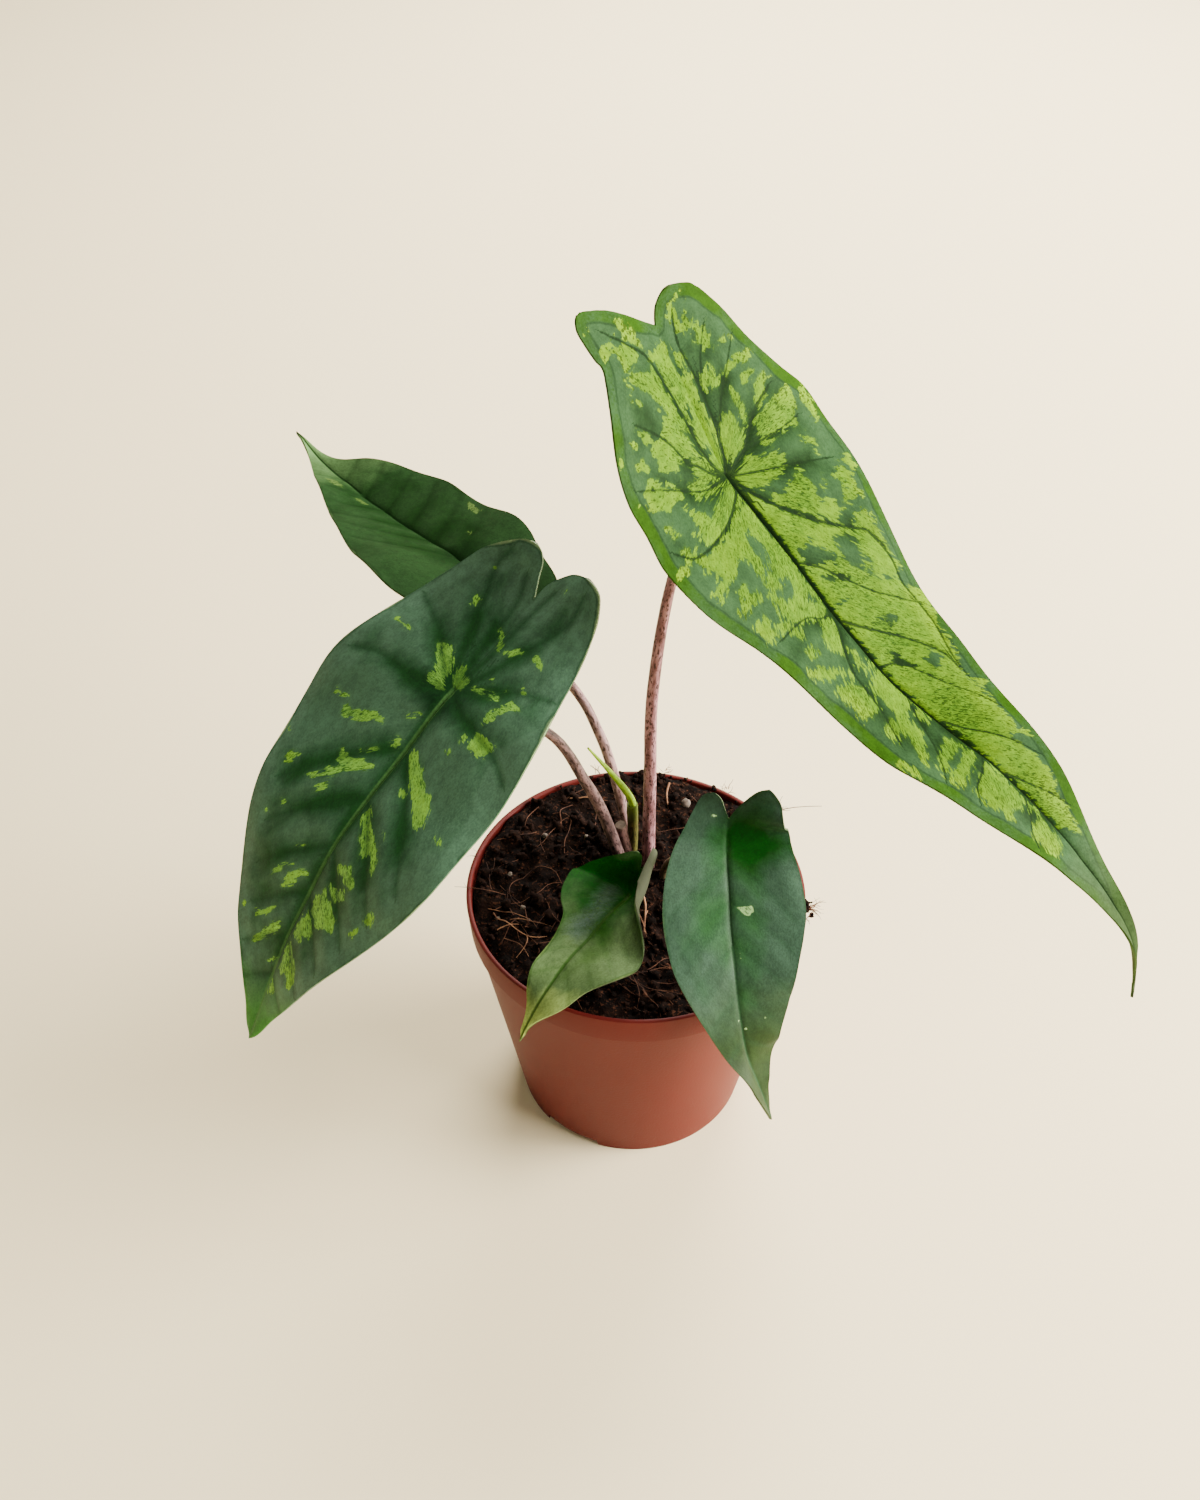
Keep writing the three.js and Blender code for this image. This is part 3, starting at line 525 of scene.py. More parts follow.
def midrib_frame(leaf, s):
    """Place, direction, sideways and upward unit vectors at s mm along the midrib."""
    if "run" not in leaf:
        u = np.linspace(0, len(leaf["spine"]) - 1, 1201)
        steps = np.linalg.norm(np.diff(through(leaf["spine"], u), axis=0), axis=1)
        length = np.concatenate([[0], np.cumsum(steps)])
        leaf["u"], leaf["run"] = u, length - np.interp(leaf["joint"], u, length)
    s = np.atleast_1d(np.asarray(s, float))
    inside = np.clip(s, leaf["run"][0], leaf["run"][-1])
    u = np.interp(inside, leaf["run"], leaf["u"])
    along = through(leaf["spine"], u + 1e-3) - through(leaf["spine"], u - 1e-3)
    along /= np.linalg.norm(along, axis=1)[:, None]
    place = through(leaf["spine"], u) + along * (s - inside)[:, None]
    level = np.cross(along, [0, 0, 1.0])
    level /= np.linalg.norm(level, axis=1)[:, None]
    up = np.cross(level, along)
    roll = math.radians(leaf["roll"])
    out = level * math.cos(roll) + up * math.sin(roll)
    return place, along, out, up * math.cos(roll) - level * math.sin(roll)


def stalk(name, path, radii, sides=20):
    """A ring drawn out along a smooth path; keeps its length and turn in mm as "stalk"."""
    bpy.ops.object.select_all(action="DESELECT")
    bpy.ops.mesh.primitive_circle_add(vertices=sides, radius=MM, fill_type="NOTHING")
    piece = bpy.context.object
    piece.name = name
    steps = (len(path) - 1) * 8
    bpy.ops.object.mode_set(mode="EDIT")
    bpy.ops.mesh.select_mode(type="EDGE")
    bpy.ops.mesh.select_all(action="SELECT")
    for i in range(steps):
        bpy.ops.mesh.extrude_region_move(TRANSFORM_OT_translate={"value": (0, 0, MM)})
    bpy.ops.object.mode_set(mode="OBJECT")
    u = np.linspace(0, len(path) - 1, steps + 1)
    centre = through(path, u)
    radius = np.interp(u, np.linspace(0, len(path) - 1, len(radii)), radii)
    along = np.gradient(centre, axis=0)
    along /= np.linalg.norm(along, axis=1)[:, None]
    side = np.array([1.0, 0, 0])
    length = np.concatenate([[0], np.cumsum(np.linalg.norm(np.diff(centre, axis=0), axis=1))])
    co = np.array([list(v.co) for v in piece.data.vertices])
    ring = np.rint(co[:, 2] / MM).astype(int)
    turn = np.arctan2(co[:, 1], co[:, 0])
    frames = []
    for direction in along:
        side = side - direction * side.dot(direction)
        side /= np.linalg.norm(side)
        frames.append((side, np.cross(direction, side)))
    frames = np.array(frames)
    swell = np.array([1 + 0.05 * noise.noise(Vector((length[r] / 9, math.cos(a), math.sin(a))))
                      for r, a in zip(ring, turn)])
    reach = (radius[ring] * swell)[:, None]
    co = centre[ring] + reach * (frames[ring, 0] * np.cos(turn)[:, None]
                                 + frames[ring, 1] * np.sin(turn)[:, None])
    piece.data.vertices.foreach_set("co", (co * MM).ravel())
    keep(piece.data, "stalk", np.stack([length[ring], np.cos(turn) * radius[ring],
                                        np.sin(turn) * radius[ring]], 1))
    piece.data.update()
    bpy.ops.object.mode_set(mode="EDIT")
    bpy.ops.mesh.select_mode(type="EDGE")
    bpy.ops.mesh.select_all(action="DESELECT")
    bpy.ops.mesh.select_non_manifold()
    bpy.ops.mesh.fill_holes(sides=sides)
    bpy.ops.mesh.select_all(action="SELECT")
    bpy.ops.mesh.normals_make_consistent(inside=False)
    bpy.ops.object.mode_set(mode="OBJECT")
    bpy.ops.object.shade_smooth_by_angle(angle=math.radians(50))
    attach(piece, "root")
    return piece


def stalk_skin(name, pale, dark, fleck, green):
    """Living stalk skin: waxy, mottled lengthways, with short dark flecks."""
    made, tree, shader = start_material(name, Roughness=0.55, IOR=1.42,
                                        Specular_IOR_Level=0.2)
    mark = add(tree, "Attribute", {}, attribute_name="stalk").outputs["Vector"]
    along = add(tree, "SeparateXYZ", {0: mark}).outputs["X"]
    long = add(tree, "Mapping", {0: mark, "Scale": (0.11, 0.5, 0.5)})
    mottle = add(tree, "TexNoise", {"Vector": long, "Scale": 1.0, "Detail": 3.0})
    short = add(tree, "Mapping", {0: mark, "Scale": (0.5, 1.3, 1.3)})
    spots = add(tree, "TexNoise", {"Vector": short, "Scale": 1.0, "Detail": 3.0,
                                   "Roughness": 0.65})
    mix = add(tree, "MapRange", {"Value": mottle, "From Min": 0.45, "From Max": 0.56})
    tint = add(tree, "Mix", {0: mix, 6: linear(dark), 7: linear(pale)}, data_type="RGBA")
    flecks = add(tree, "MapRange", {"Value": spots, "From Min": 0.52,
                                    "From Max": 0.6, "To Max": 0.9})
    tint = add(tree, "Mix", {0: flecks, 6: tint, 7: linear(fleck)}, data_type="RGBA")
    young = add(tree, "MapRange", {"Value": along, "From Min": green[0], "From Max": green[1],
                                   "To Max": 0.8})
    tint = add(tree, "Mix", {0: young, 6: tint, 7: linear(green[2])}, data_type="RGBA")
    tree.links.new(tint.outputs[2], shader.inputs["Base Color"])
    relief = add(tree, "Bump", {"Strength": 0.35, "Distance": 0.0002, "Height": spots})
    tree.links.new(relief.outputs[0], shader.inputs["Normal"])
    return made


STALKS = {
    "tall_right": ([(4.6, 13, 84), (4.6, 13, 95), (4.2, 13, 138.8), (4.1, 11.5, 181),
                    (8.7, 8.5, 228.3)], [2.35, 2.35, 2.2, 2.0, 1.7, 1.5, 1.6],
                   "#a0747b", "#764f53", "#271414", (176, 196, "#505c34")),
    "front_left": ([(-3.4, 9.6, 84), (-3.8, 9.6, 95), (-10.8, 8, 124.2), (-18, 3, 147.8),
                    (-29.6, -7, 178.7)], [2.2, 2.2, 2.1, 1.9, 1.6, 1.4, 1.5],
                   "#6c5452", "#463534", "#1a1010", (120, 140, "#364323")),
    "back_left": ([(-1.6, 22.8, 84), (-1.8, 22.9, 95), (-5, 25, 115), (-13, 33, 141),
                   (-26, 46, 157)], [1.9, 1.9, 1.85, 1.8, 1.6, 1.4, 1.5],
                  "#997a78", "#725855", "#36221d", (112, 132, "#4e5e37")),
    "small_right": ([(9.4, 8.6, 84), (9.6, 8.2, 94), (12, 4.5, 107), (20, -6, 121)],
                    [1.6, 1.6, 1.5, 1.35, 1.2, 1.3], "#65583e", "#4d452f", "#302c1c",
                    (30, 50, "#44582d")),
    "youngest": ([(1, 5.6, 84), (0.8, 4.8, 92)], [1.6, 1.6, 1.3, 1.3], "#685e44", "#545035",
                 "#363421", (14, 24, "#506834")),
}
for name, (path, radii, pale, dark, fleck, green) in STALKS.items():
    leaf = LEAVES[name]
    place, _, _, up = midrib_frame(leaf, 0)
    drop = BLADE_THICKNESS / 2 + leaf["rib"] * 0.6
    ends = [tuple(place[0] - up[0] * (drop + 7)), tuple(place[0] - up[0] * drop)]
    piece = stalk("petiole_of_" + name, path + ends, radii)
    piece.data.materials.append(stalk_skin("stalk_skin_" + name, pale, dark, fleck, green))
    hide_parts("petiole_" + name)

# Growing point. The next leaf stands rolled up in its pointed sheath, beside
# the short stub of a leaf that was cut away.

rolled = stalk("rolled_new_leaf", [(-1.2, 17.6, 116), (-1.6, 17, 124), (-4.2, 15.4, 131.5),
                                   (-9, 12.4, 142.3), (-17, 8, 158.2)],
               [1.15, 1.3, 1.25, 0.95, 0.35])
rolled.data.materials.append(stalk_skin("rolled_leaf_skin", "#91b32b", "#7ea420", "#638a15",
                                        (34, 48, "#89ad27")))
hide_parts("rolled_leaf")

sheath = stalk("leaf_sheath", [(-0.9, 18, 84), (-0.9, 18, 95), (-1.1, 17.8, 110),
                               (-1.6, 17, 123)], [1.5, 1.6, 1.9, 2.0])
sheath.data.materials.append(stalk_skin("sheath_skin", "#555327", "#3a3b1a", "#2b2714",
                                        (30, 42, "#5c7024")))
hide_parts("sheath")

stub = stalk("cut_stalk_stub", [(-1.8, 14, 84), (-1.8, 14, 95), (-5.6, 12.9, 117)],
             [1.5, 1.7, 1.9])
stub.data.materials.append(stalk_skin("stub_skin", "#7a5c56", "#5e4440", "#392720",
                                      (32, 33.5, "#695d4f")))
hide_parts("cut_stub")

# Leaf blades. Thin, leathery and waxy, each grown as two halves along a sunken
# midrib, with deep lobes behind the stalk; veins are pressed in on the upper
# face and stand out below.


def smooth(table, column, s):
    """Value of a table column at s, on a smooth curve through the rows."""
    rows = np.array(table, float)
    n = len(rows)
    s = np.asarray(s, float)
    k = np.clip(np.searchsorted(-rows[:, 0], -s, side="left") - 1, 0, n - 2)
    low, high = np.maximum(np.arange(n) - 1, 0), np.minimum(np.arange(n) + 1, n - 1)
    slope = (rows[high, column] - rows[low, column]) / (rows[high, 0] - rows[low, 0])
    h = rows[k + 1, 0] - rows[k, 0]
    x = np.clip((s - rows[k, 0]) / h, 0, 1)
    return (rows[k, column] * (1 + 2 * x) * (1 - x) ** 2
            + rows[k + 1, column] * x * x * (3 - 2 * x)
            + h * slope[k] * x * (1 - x) ** 2 + h * slope[k + 1] * x * x * (x - 1))


def on_blade(leaf, s, side, t, width):
    """The point t mm out from the midrib at s, over the folded and curled blade."""
    fold, turn = math.radians(leaf["fold"]), math.radians(leaf["curl"]) / 40
    start = np.array(t, float)
    hemmed = "hem" in leaf and side < 0
    if hemmed:
        start = np.where(s < leaf["hem_end"], np.minimum(t, smooth(leaf["hem"], 1, s)), t)
    x = (np.sin(fold + turn * start) - math.sin(fold)) / turn
    z = (math.cos(fold) - np.cos(fold + turn * start)) / turn
    if hemmed:
        angle = fold + turn * start
        rate = np.radians(smooth(leaf["hem"], 2, s)) / np.maximum(width - start, 1)
        end = angle + rate * (t - start)
        x = x + np.where(t > start, (np.sin(end) - np.sin(angle)) / rate, 0)
        z = z + np.where(t > start, (np.cos(angle) - np.cos(end)) / rate, 0)
    beat = np.sin(2 * math.pi * s / leaf["wave"] + (0.6 if side > 0 else 2.4))
    z = z + leaf["ripple"] * beat * (t / np.maximum(width, 1)) ** 2
    place, along, out, up = midrib_frame(leaf, s)
    return place + out * (side * x)[:, None] + up * z[:, None]


def half_blade(leaf, side, step):
    """One half of the blade: a grid whose rows run out from the midrib to the margin."""
    column = 2 if side > 0 else 1
    lobe = np.array(leaf["right_lobe" if side > 0 else "left_lobe"], float)
    table = np.array(leaf["outline"], float)
    tip, notch = table[0, 0], leaf["notch"]
    main = int((tip - notch) / step)
    rows = main + int((notch - lobe[-1, 0]) / step * 1.6) + 4
    columns = int(table[:, column].max() / step)
    bpy.ops.object.select_all(action="DESELECT")
    bpy.ops.mesh.primitive_grid_add(x_subdivisions=columns, y_subdivisions=rows, size=2)
    piece = bpy.context.object
    co = read(piece.data.vertices, "co")
    share, row = (co[:, 0] + 1) / 2, (1 - co[:, 1]) / 2 * rows
    s = tip + (notch - tip) * np.minimum(row / main, 1)
    width = np.maximum(smooth(table, column, s), 0)
    t = share * width
    # Behind the notch a row joins the inner to the outer edge of the lobe
    inner = np.vstack([lobe[:, [0, 1]], lobe[-2, [0, 2]]])
    outer = np.vstack([table[-2, [0, column]], lobe[:, [0, 2]], lobe[-2, [0, 1]]])
    late = row > main
    w = (row[late] - main) / (rows - main) * (len(lobe) - 1)
    near, far = through(inner, w), through(outer, w + 1)
    far[:, 1] = np.maximum(far[:, 1], near[:, 1])
    blend = near + (far - near) * share[late][:, None]
    s[late], t[late], width[late] = blend[:, 0], blend[:, 1], np.maximum(far[:, 1], 1)
    shape = on_blade(leaf, s, side, t, width)
    piece.data.vertices.foreach_set("co", (shape * MM).ravel())
    keep(piece.data, "leaf", np.stack([s, side * t, width], 1))
    dense = np.linspace(tip, notch, 160)
    rim = np.vstack([np.stack([dense, smooth(table, column, dense)], 1),
                     through(outer, np.linspace(1, len(lobe), 40)),
                     through(inner, np.linspace(len(lobe) - 1, 0, 40))])
    return piece, rim * (1, side)


def to_lines(points, lines):
    """Signed and plain distance from points to the nearest of some lines, and its width."""
    best = np.full(len(points), 99.0)
    signed, wide = best.copy(), np.zeros(len(points))
    for width, line in lines:
        run = through(line, np.linspace(0, len(line) - 1, (len(line) - 1) * 5 + 1))
        for i in range(len(run) - 1):
            a, b = run[i], run[i + 1]
            d = b - a
            f = np.clip(((points - a) @ d) / max(d @ d, 1e-9), 0, 1)
            off = points - a - f[:, None] * d
            away = np.hypot(off[:, 0], off[:, 1])
            closer = away < best
            side = np.sign(d[0] * off[:, 1] - d[1] * off[:, 0])
            best = np.where(closer, away, best)
            signed = np.where(closer, away * side, signed)
            wide = np.where(closer, width * (1 - 0.55 * i / len(run)), wide)
    return signed, best, wide


def marked(points, pale, dark):
    """How far inside the pale splashes a point lies, in mm; dark islands are cut out."""
    field = np.full(len(points), -9.0)
    s, t = points[:, 0], points[:, 1]
    for i, outline in enumerate(pale + dark):
        corners = np.array(outline, float)
        away, inside = np.full(len(points), 99.0), np.zeros(len(points), bool)
        for a, b in zip(corners, np.roll(corners, -1, 0)):
            d = b - a
            f = np.clip(((points - a) @ d) / max(d @ d, 1e-9), 0, 1)
            away = np.minimum(away, np.linalg.norm(points - a - f[:, None] * d, axis=1))
            inside ^= ((a[1] > t) != (b[1] > t)) & (s < a[0] + (t - a[1]) * d[0] / (d[1] or 1))
        depth = np.where(inside, away, -away)
        field = np.maximum(field, depth) if i < len(pale) else np.minimum(field, -depth)
    return field


# Half widths in mm of the pressed-in grooves above and of the ridges below
MIDRIB_GROOVE, VEIN_GROOVE, MIDRIB_RIDGE, VEIN_RIDGE = 0.9, 0.8, 1.2, 0.7
# How far from a vein the skin rises to its full height, and the long slack waves
SWELL, SLACK_LENGTH, SLACK_HEIGHT = 5.5, 17, 0.7
VEIN_BOW = 0.008


def blade(name, veins, pale, dark, slope, quilt, step=1.15):
    """The whole blade with its thickness, its pressed-in veins and its marks. slope is
    how far the side veins lean forward, quilt how high the skin stands between them."""
    leaf = LEAVES[name]
    left, left_rim = half_blade(leaf, -1, step)
    right, right_rim = half_blade(leaf, 1, step)
    only(left)
    right.select_set(True)
    bpy.ops.object.join()
    piece = bpy.context.object
    piece.name = "blade_of_" + name
    bpy.ops.object.mode_set(mode="EDIT")
    bpy.ops.mesh.select_all(action="SELECT")
    bpy.ops.mesh.remove_doubles(threshold=1e-6)
    bpy.ops.mesh.dissolve_degenerate(threshold=1e-6)
    bpy.ops.mesh.normals_make_consistent(inside=False)
    bpy.ops.object.mode_set(mode="OBJECT")
    mesh = piece.data
    count = len(mesh.vertices)
    normal = read(mesh.vertices, "normal")
    up = midrib_frame(leaf, 0)[3][0]
    if normal.mean(0) @ up < 0:
        mesh.flip_normals()
        normal = -normal
    # Place on the leaf, and distance from the margin and from the nearest vein, in mm
    flat = read(mesh.attributes["leaf"].data, "vector")[:, :2]
    s, t = flat[:, 0], flat[:, 1]
    edge = np.full(count, 99.0)
    for rim_s, rim_t in np.vstack([left_rim, right_rim]):
        edge = np.minimum(edge, np.hypot(s - rim_s, t - rim_t))
    signed, near, wide = to_lines(flat, veins)
    # Veins pressed in, and the skin between them raised
    tip = leaf["outline"][0][0]
    fade = np.clip(np.where(s > 0, 1 - s / tip, 1 - s / leaf["notch"]), 0, 1)
    groove = (np.exp(-((t / MIDRIB_GROOVE) ** 2))
              * np.where(s > leaf["notch"], 0.15 + 0.4 * fade, 0))
    groove += 0.3 * np.exp(-((near / VEIN_GROOVE) ** 2)) * np.minimum(wide / 0.4, 1.4)
    swell = 1 - np.exp(-((np.minimum(near, np.abs(t)) / SWELL) ** 2))
    slack = np.array([noise.noise(Vector((a / SLACK_LENGTH, b / SLACK_LENGTH, 3.0)))
                      for a, b in flat])
    margin = np.clip(edge / 6, 0, 1)
    lift = (quilt * swell * margin + SLACK_HEIGHT * slack * margin
            - groove * np.clip(edge / 2, 0, 1))
    co = read(mesh.vertices, "co") + normal * (lift * MM)[:, None]
    mesh.vertices.foreach_set("co", co.ravel())
    # The grain of the skin, p across and q along the fine veins, fans out at the lobes
    reach = np.abs(t)
    p = s - slope * reach - VEIN_BOW * reach ** 2
    q = reach * math.hypot(1, slope)
    turn = np.arctan2(reach, s - VEIN_BOW * reach ** 2)
    fan = p < 0
    p = np.where(fan, -(turn - math.atan(1 / slope)) * 30, p)
    q = np.where(fan, np.hypot(s, t), q)
    half = 2.5 * np.tanh(t / 3)
    mesh.update()
    # Thickness, with ribs that stand out on the lower face
    apply_modifier(piece, "SOLIDIFY", thickness=BLADE_THICKNESS * MM * 0.85, offset=0.0)
    mesh = piece.data
    co = read(mesh.vertices, "co")
    across = co[count:] - co[:count]
    across /= np.linalg.norm(across, axis=1)[:, None]
    under_first = (across * normal).sum(1).mean() > 0
    rib = (leaf["rib"] * np.exp(-((t / MIDRIB_RIDGE) ** 2))
           * np.where(s > leaf["notch"], 0.15 + 0.7 * fade, 0))
    rib += 0.35 * np.exp(-((near / VEIN_RIDGE) ** 2)) * np.clip(edge / 3, 0, 1)
    low = slice(0, count) if under_first else slice(count, 2 * count)
    co[low] -= normal * (rib * MM)[:, None]
    mesh.vertices.foreach_set("co", co.ravel())
    under = np.zeros(2 * count)
    under[low] = 1
    # What the leaf skin reads, the same for both faces
    for label, values in (("leaf", (s, t, edge)), ("vein", (signed, near, wide)),
                          ("grain", (p, q, half))):
        keep(mesh, label, np.tile(np.stack(values, 1), (2, 1)))
    keep(mesh, "splash", np.tile(marked(flat, pale, dark), 2))
    keep(mesh, "under", under)
    mesh.update()
    only(piece)
    bpy.ops.object.shade_smooth_by_angle(angle=math.radians(50))
    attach(piece, "root")
    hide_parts("blade_" + name)
    return piece


def leaf_skin(name, ground, pale, band, vein, midrib, heart, tip, under, jag, roughness, gloss,
              crisp=0.12):
    """Waxed leaf skin. Pale splashes stop in ragged teeth along the fine veins of a
    green ground (colour pairs). band is the plain margin: colour, width in mm; vein is
    the side veins: colour, strength, softness; midrib: colour, half width; heart is the
    skin round the stalk: colour, place (s, t), radius; tip: colour, where it starts and
    ends. jag is how far the teeth reach and crisp how soft their edge is, in mm."""
    made, tree, shader = start_material(name, Roughness=roughness, IOR=1.45,
                                        Specular_IOR_Level=gloss)
    leaf = add(tree, "Attribute", {}, attribute_name="leaf").outputs["Vector"]
    across = add(tree, "SeparateXYZ", {0: leaf}).outputs
    line = add(tree, "Attribute", {}, attribute_name="vein").outputs["Vector"]
    line = add(tree, "SeparateXYZ", {0: line}).outputs
    grain = add(tree, "Attribute", {}, attribute_name="grain").outputs["Vector"]
    field = add(tree, "Attribute", {}, attribute_name="splash").outputs["Fac"]
    wide = add(tree, "TexNoise", {"Vector": leaf, "Scale": 0.055, "Detail": 3.0})
    wide = add(tree, "MapRange", {"Value": wide, "From Min": 0.35, "From Max": 0.65})
    cells = add(tree, "TexNoise", {"Vector": leaf, "Scale": 1.3, "Detail": 3.0, "Roughness": 0.6})
    # Teeth 1.2 mm wide and 3 mm long, with a fringe and dashes of 0.4 by 1 mm
    long = add(tree, "Mapping", {0: grain, "Scale": (0.85, 0.32, 0.6)})
    teeth = add(tree, "TexVoronoi", {"Vector": long, "Scale": 1.0}, distance="CHEBYCHEV")
    teeth = add(tree, "SeparateColor", {0: teeth.outputs["Color"]})
    short = add(tree, "Mapping", {0: grain, "Scale": (2.4, 0.9, 0.6)})
    fringe = add(tree, "TexNoise", {"Vector": short, "Scale": 1.0, "Detail": 2.0})
    uneven = add(tree, "Math", {0: teeth, 1: fringe}, operation="ADD")
    uneven = add(tree, "Math", {0: uneven, 1: -1.0}, operation="ADD")
    edge = add(tree, "Math", {0: uneven, 1: jag, 2: field}, operation="MULTIPLY_ADD")
    # The ground: dark beside the veins, greyer between them and near the margin; this grey is
    # painted sheen, the blue-grey reflection of the waxy skin drawn into its colour
    near_rim = add(tree, "Math", {0: wide, 1: -12.0, 2: across["Z"]}, operation="MULTIPLY_ADD")
    near_rim = add(tree, "MapRange", {"Value": near_rim, "From Min": 14.0, "From Max": 0.0})
    between = add(tree, "Math", {0: wide, 1: 4.0, 2: line["Y"]}, operation="MULTIPLY_ADD")
    between = add(tree, "MapRange", {"Value": between, "From Min": 2.0, "From Max": 9.0})
    between = add(tree, "Math", {0: between, 1: 0.8}, operation="MULTIPLY")
    grey = add(tree, "Math", {0: near_rim, 1: between}, operation="MAXIMUM")
    # Painted sheen: the second, greyer ground colour mixed in between the veins and near the
    # margin
    base = add(tree, "Mix", {0: grey, 6: linear(ground[0]), 7: linear(ground[1])},
               data_type="RGBA")
    halo = add(tree, "MapRange", {"Value": edge, "From Min": -1.2, "From Max": -0.1,
                                  "To Max": 0.05 * jag})
    base = add(tree, "Mix", {0: halo, 6: base, 7: linear(pale[0])}, data_type="RGBA")
    # The splashes: paler in patches and near the margin, broken by green dashes
    patches = add(tree, "Math", {0: teeth, 1: wide}, operation="ADD")
    patches = add(tree, "Math", {0: patches, 1: 0.3}, operation="MULTIPLY")
    near_rim = add(tree, "Math", {0: wide, 1: 6.0, 2: across["Z"]}, operation="MULTIPLY_ADD")
    near_rim = add(tree, "MapRange", {"Value": near_rim, "From Min": 15.0, "From Max": 7.0})
    patches = add(tree, "Math", {0: near_rim, 1: patches}, operation="MAXIMUM")
    light = add(tree, "Mix", {0: patches, 6: linear(pale[0]), 7: linear(pale[1])},
                data_type="RGBA")
    dashes = add(tree, "Math", {0: wide, 1: -0.5}, operation="ADD")
    dashes = add(tree, "Math", {0: dashes, 1: -0.12, 2: fringe}, operation="MULTIPLY_ADD")
    dashes = add(tree, "MapRange", {"Value": dashes, "From Min": 0.55, "From Max": 0.62,
                                    "To Max": 0.8})
    light = add(tree, "Mix", {0: dashes, 6: light, 7: linear(ground[0])}, data_type="RGBA")
    # The margin, with a darker line inside it
    rim = add(tree, "Math", {0: wide, 1: 1.5, 2: across["Z"]}, operation="MULTIPLY_ADD")
    inner = add(tree, "Math", {0: rim, 1: band[1] + 0.75}, operation="SUBTRACT")
    inner = add(tree, "Math", {0: inner}, operation="ABSOLUTE")
    inner = add(tree, "Math", {0: inner, 1: 0.35}, operation="SUBTRACT")
    inner = add(tree, "MapRange", {"Value": inner, "From Min": 0.4, "From Max": 0.0,
                                   "To Max": 0.5})
    base = add(tree, "Mix", {0: inner, 6: base, 7: linear(vein[0])}, data_type="RGBA")
    worn = add(tree, "Math", {0: cells, 1: wide}, operation="MULTIPLY")
    worn = add(tree, "MapRange", {"Value": worn, "From Min": 0.1, "From Max": 0.6})
    margin = add(tree, "Mix", {0: worn, 6: linear(band[0]), 7: linear(ground[1])},
                 data_type="RGBA")
    rim = add(tree, "MapRange", {"Value": rim, "From Min": band[1] + 0.9,
                                 "From Max": band[1] + 0.3})
    base = add(tree, "Mix", {0: rim, 6: base, 7: margin}, data_type="RGBA")
    # The tip, and the skin round the stalk
    far = add(tree, "Math", {0: wide, 1: 10.0, 2: across["X"]}, operation="MULTIPLY_ADD")
    far = add(tree, "MapRange", {"Value": far, "From Min": tip[1] + 5.0,
                                 "From Max": tip[2] + 5.0, "To Max": 0.9})
    base = add(tree, "Mix", {0: far, 6: base, 7: linear(tip[0])}, data_type="RGBA")
    reach = add(tree, "VectorMath", {0: leaf, 1: (1.0, 1.0, 0.0)}, operation="MULTIPLY")
    reach = add(tree, "VectorMath", {0: reach, 1: (heart[1], heart[2], 0.0)},
                operation="DISTANCE")
    reach = add(tree, "Math", {0: wide, 1: heart[3] * 0.5, 2: reach}, operation="MULTIPLY_ADD")
    reach = add(tree, "MapRange", {"Value": reach, "From Min": heart[3] * 1.6,
                                   "From Max": heart[3] * 0.7})
    base = add(tree, "Mix", {0: reach, 6: base, 7: linear(heart[0])}, data_type="RGBA")
    splash = add(tree, "MapRange", {"Value": edge, "From Min": -crisp, "From Max": crisp})
    tint = add(tree, "Mix", {0: splash, 6: base, 7: light}, data_type="RGBA")
    # Side veins, broken: the distance in mm from the nearest one, against its width
    away = add(tree, "Math", {0: line["X"]}, operation="ABSOLUTE")
    away = add(tree, "Math", {0: away, 1: line["Z"]}, operation="SUBTRACT")
    away = add(tree, "Math", {0: away, 1: 0.6}, operation="ADD")
    away = add(tree, "Math", {0: fringe, 1: -1.2, 2: away}, operation="MULTIPLY_ADD")
    drawn = add(tree, "MapRange", {"Value": away, "From Min": vein[2], "From Max": -0.1,
                                   "To Max": vein[1]})
    gate = add(tree, "Math", {0: line["Y"], 1: 2.6}, operation="LESS_THAN")
    drawn = add(tree, "Math", {0: drawn, 1: gate}, operation="MULTIPLY")
    tint = add(tree, "Mix", {0: drawn, 6: tint, 7: linear(vein[0])}, data_type="RGBA")
    # The midrib, thinner towards the tip and only in front of the stalk
    middle = add(tree, "Math", {0: across["Y"]}, operation="ABSOLUTE")
    taper = add(tree, "MapRange", {"Value": across["X"], "From Min": 0.0, "From Max": 130.0,
                                   "To Max": 0.6})
    taper = add(tree, "Math", {0: taper, 1: midrib[1]}, operation="MULTIPLY")
    middle = add(tree, "Math", {0: taper, 1: middle}, operation="ADD")
    middle = add(tree, "MapRange", {"Value": middle, "From Min": midrib[1] + 0.3,
                                    "From Max": midrib[1] - 0.1, "To Max": 0.85})
    ahead = add(tree, "MapRange", {"Value": across["X"], "From Min": -2.0, "From Max": 0.0})
    drawn = add(tree, "Math", {0: middle, 1: ahead}, operation="MULTIPLY")
    tint = add(tree, "Mix", {0: drawn, 6: tint, 7: linear(midrib[0])}, data_type="RGBA")
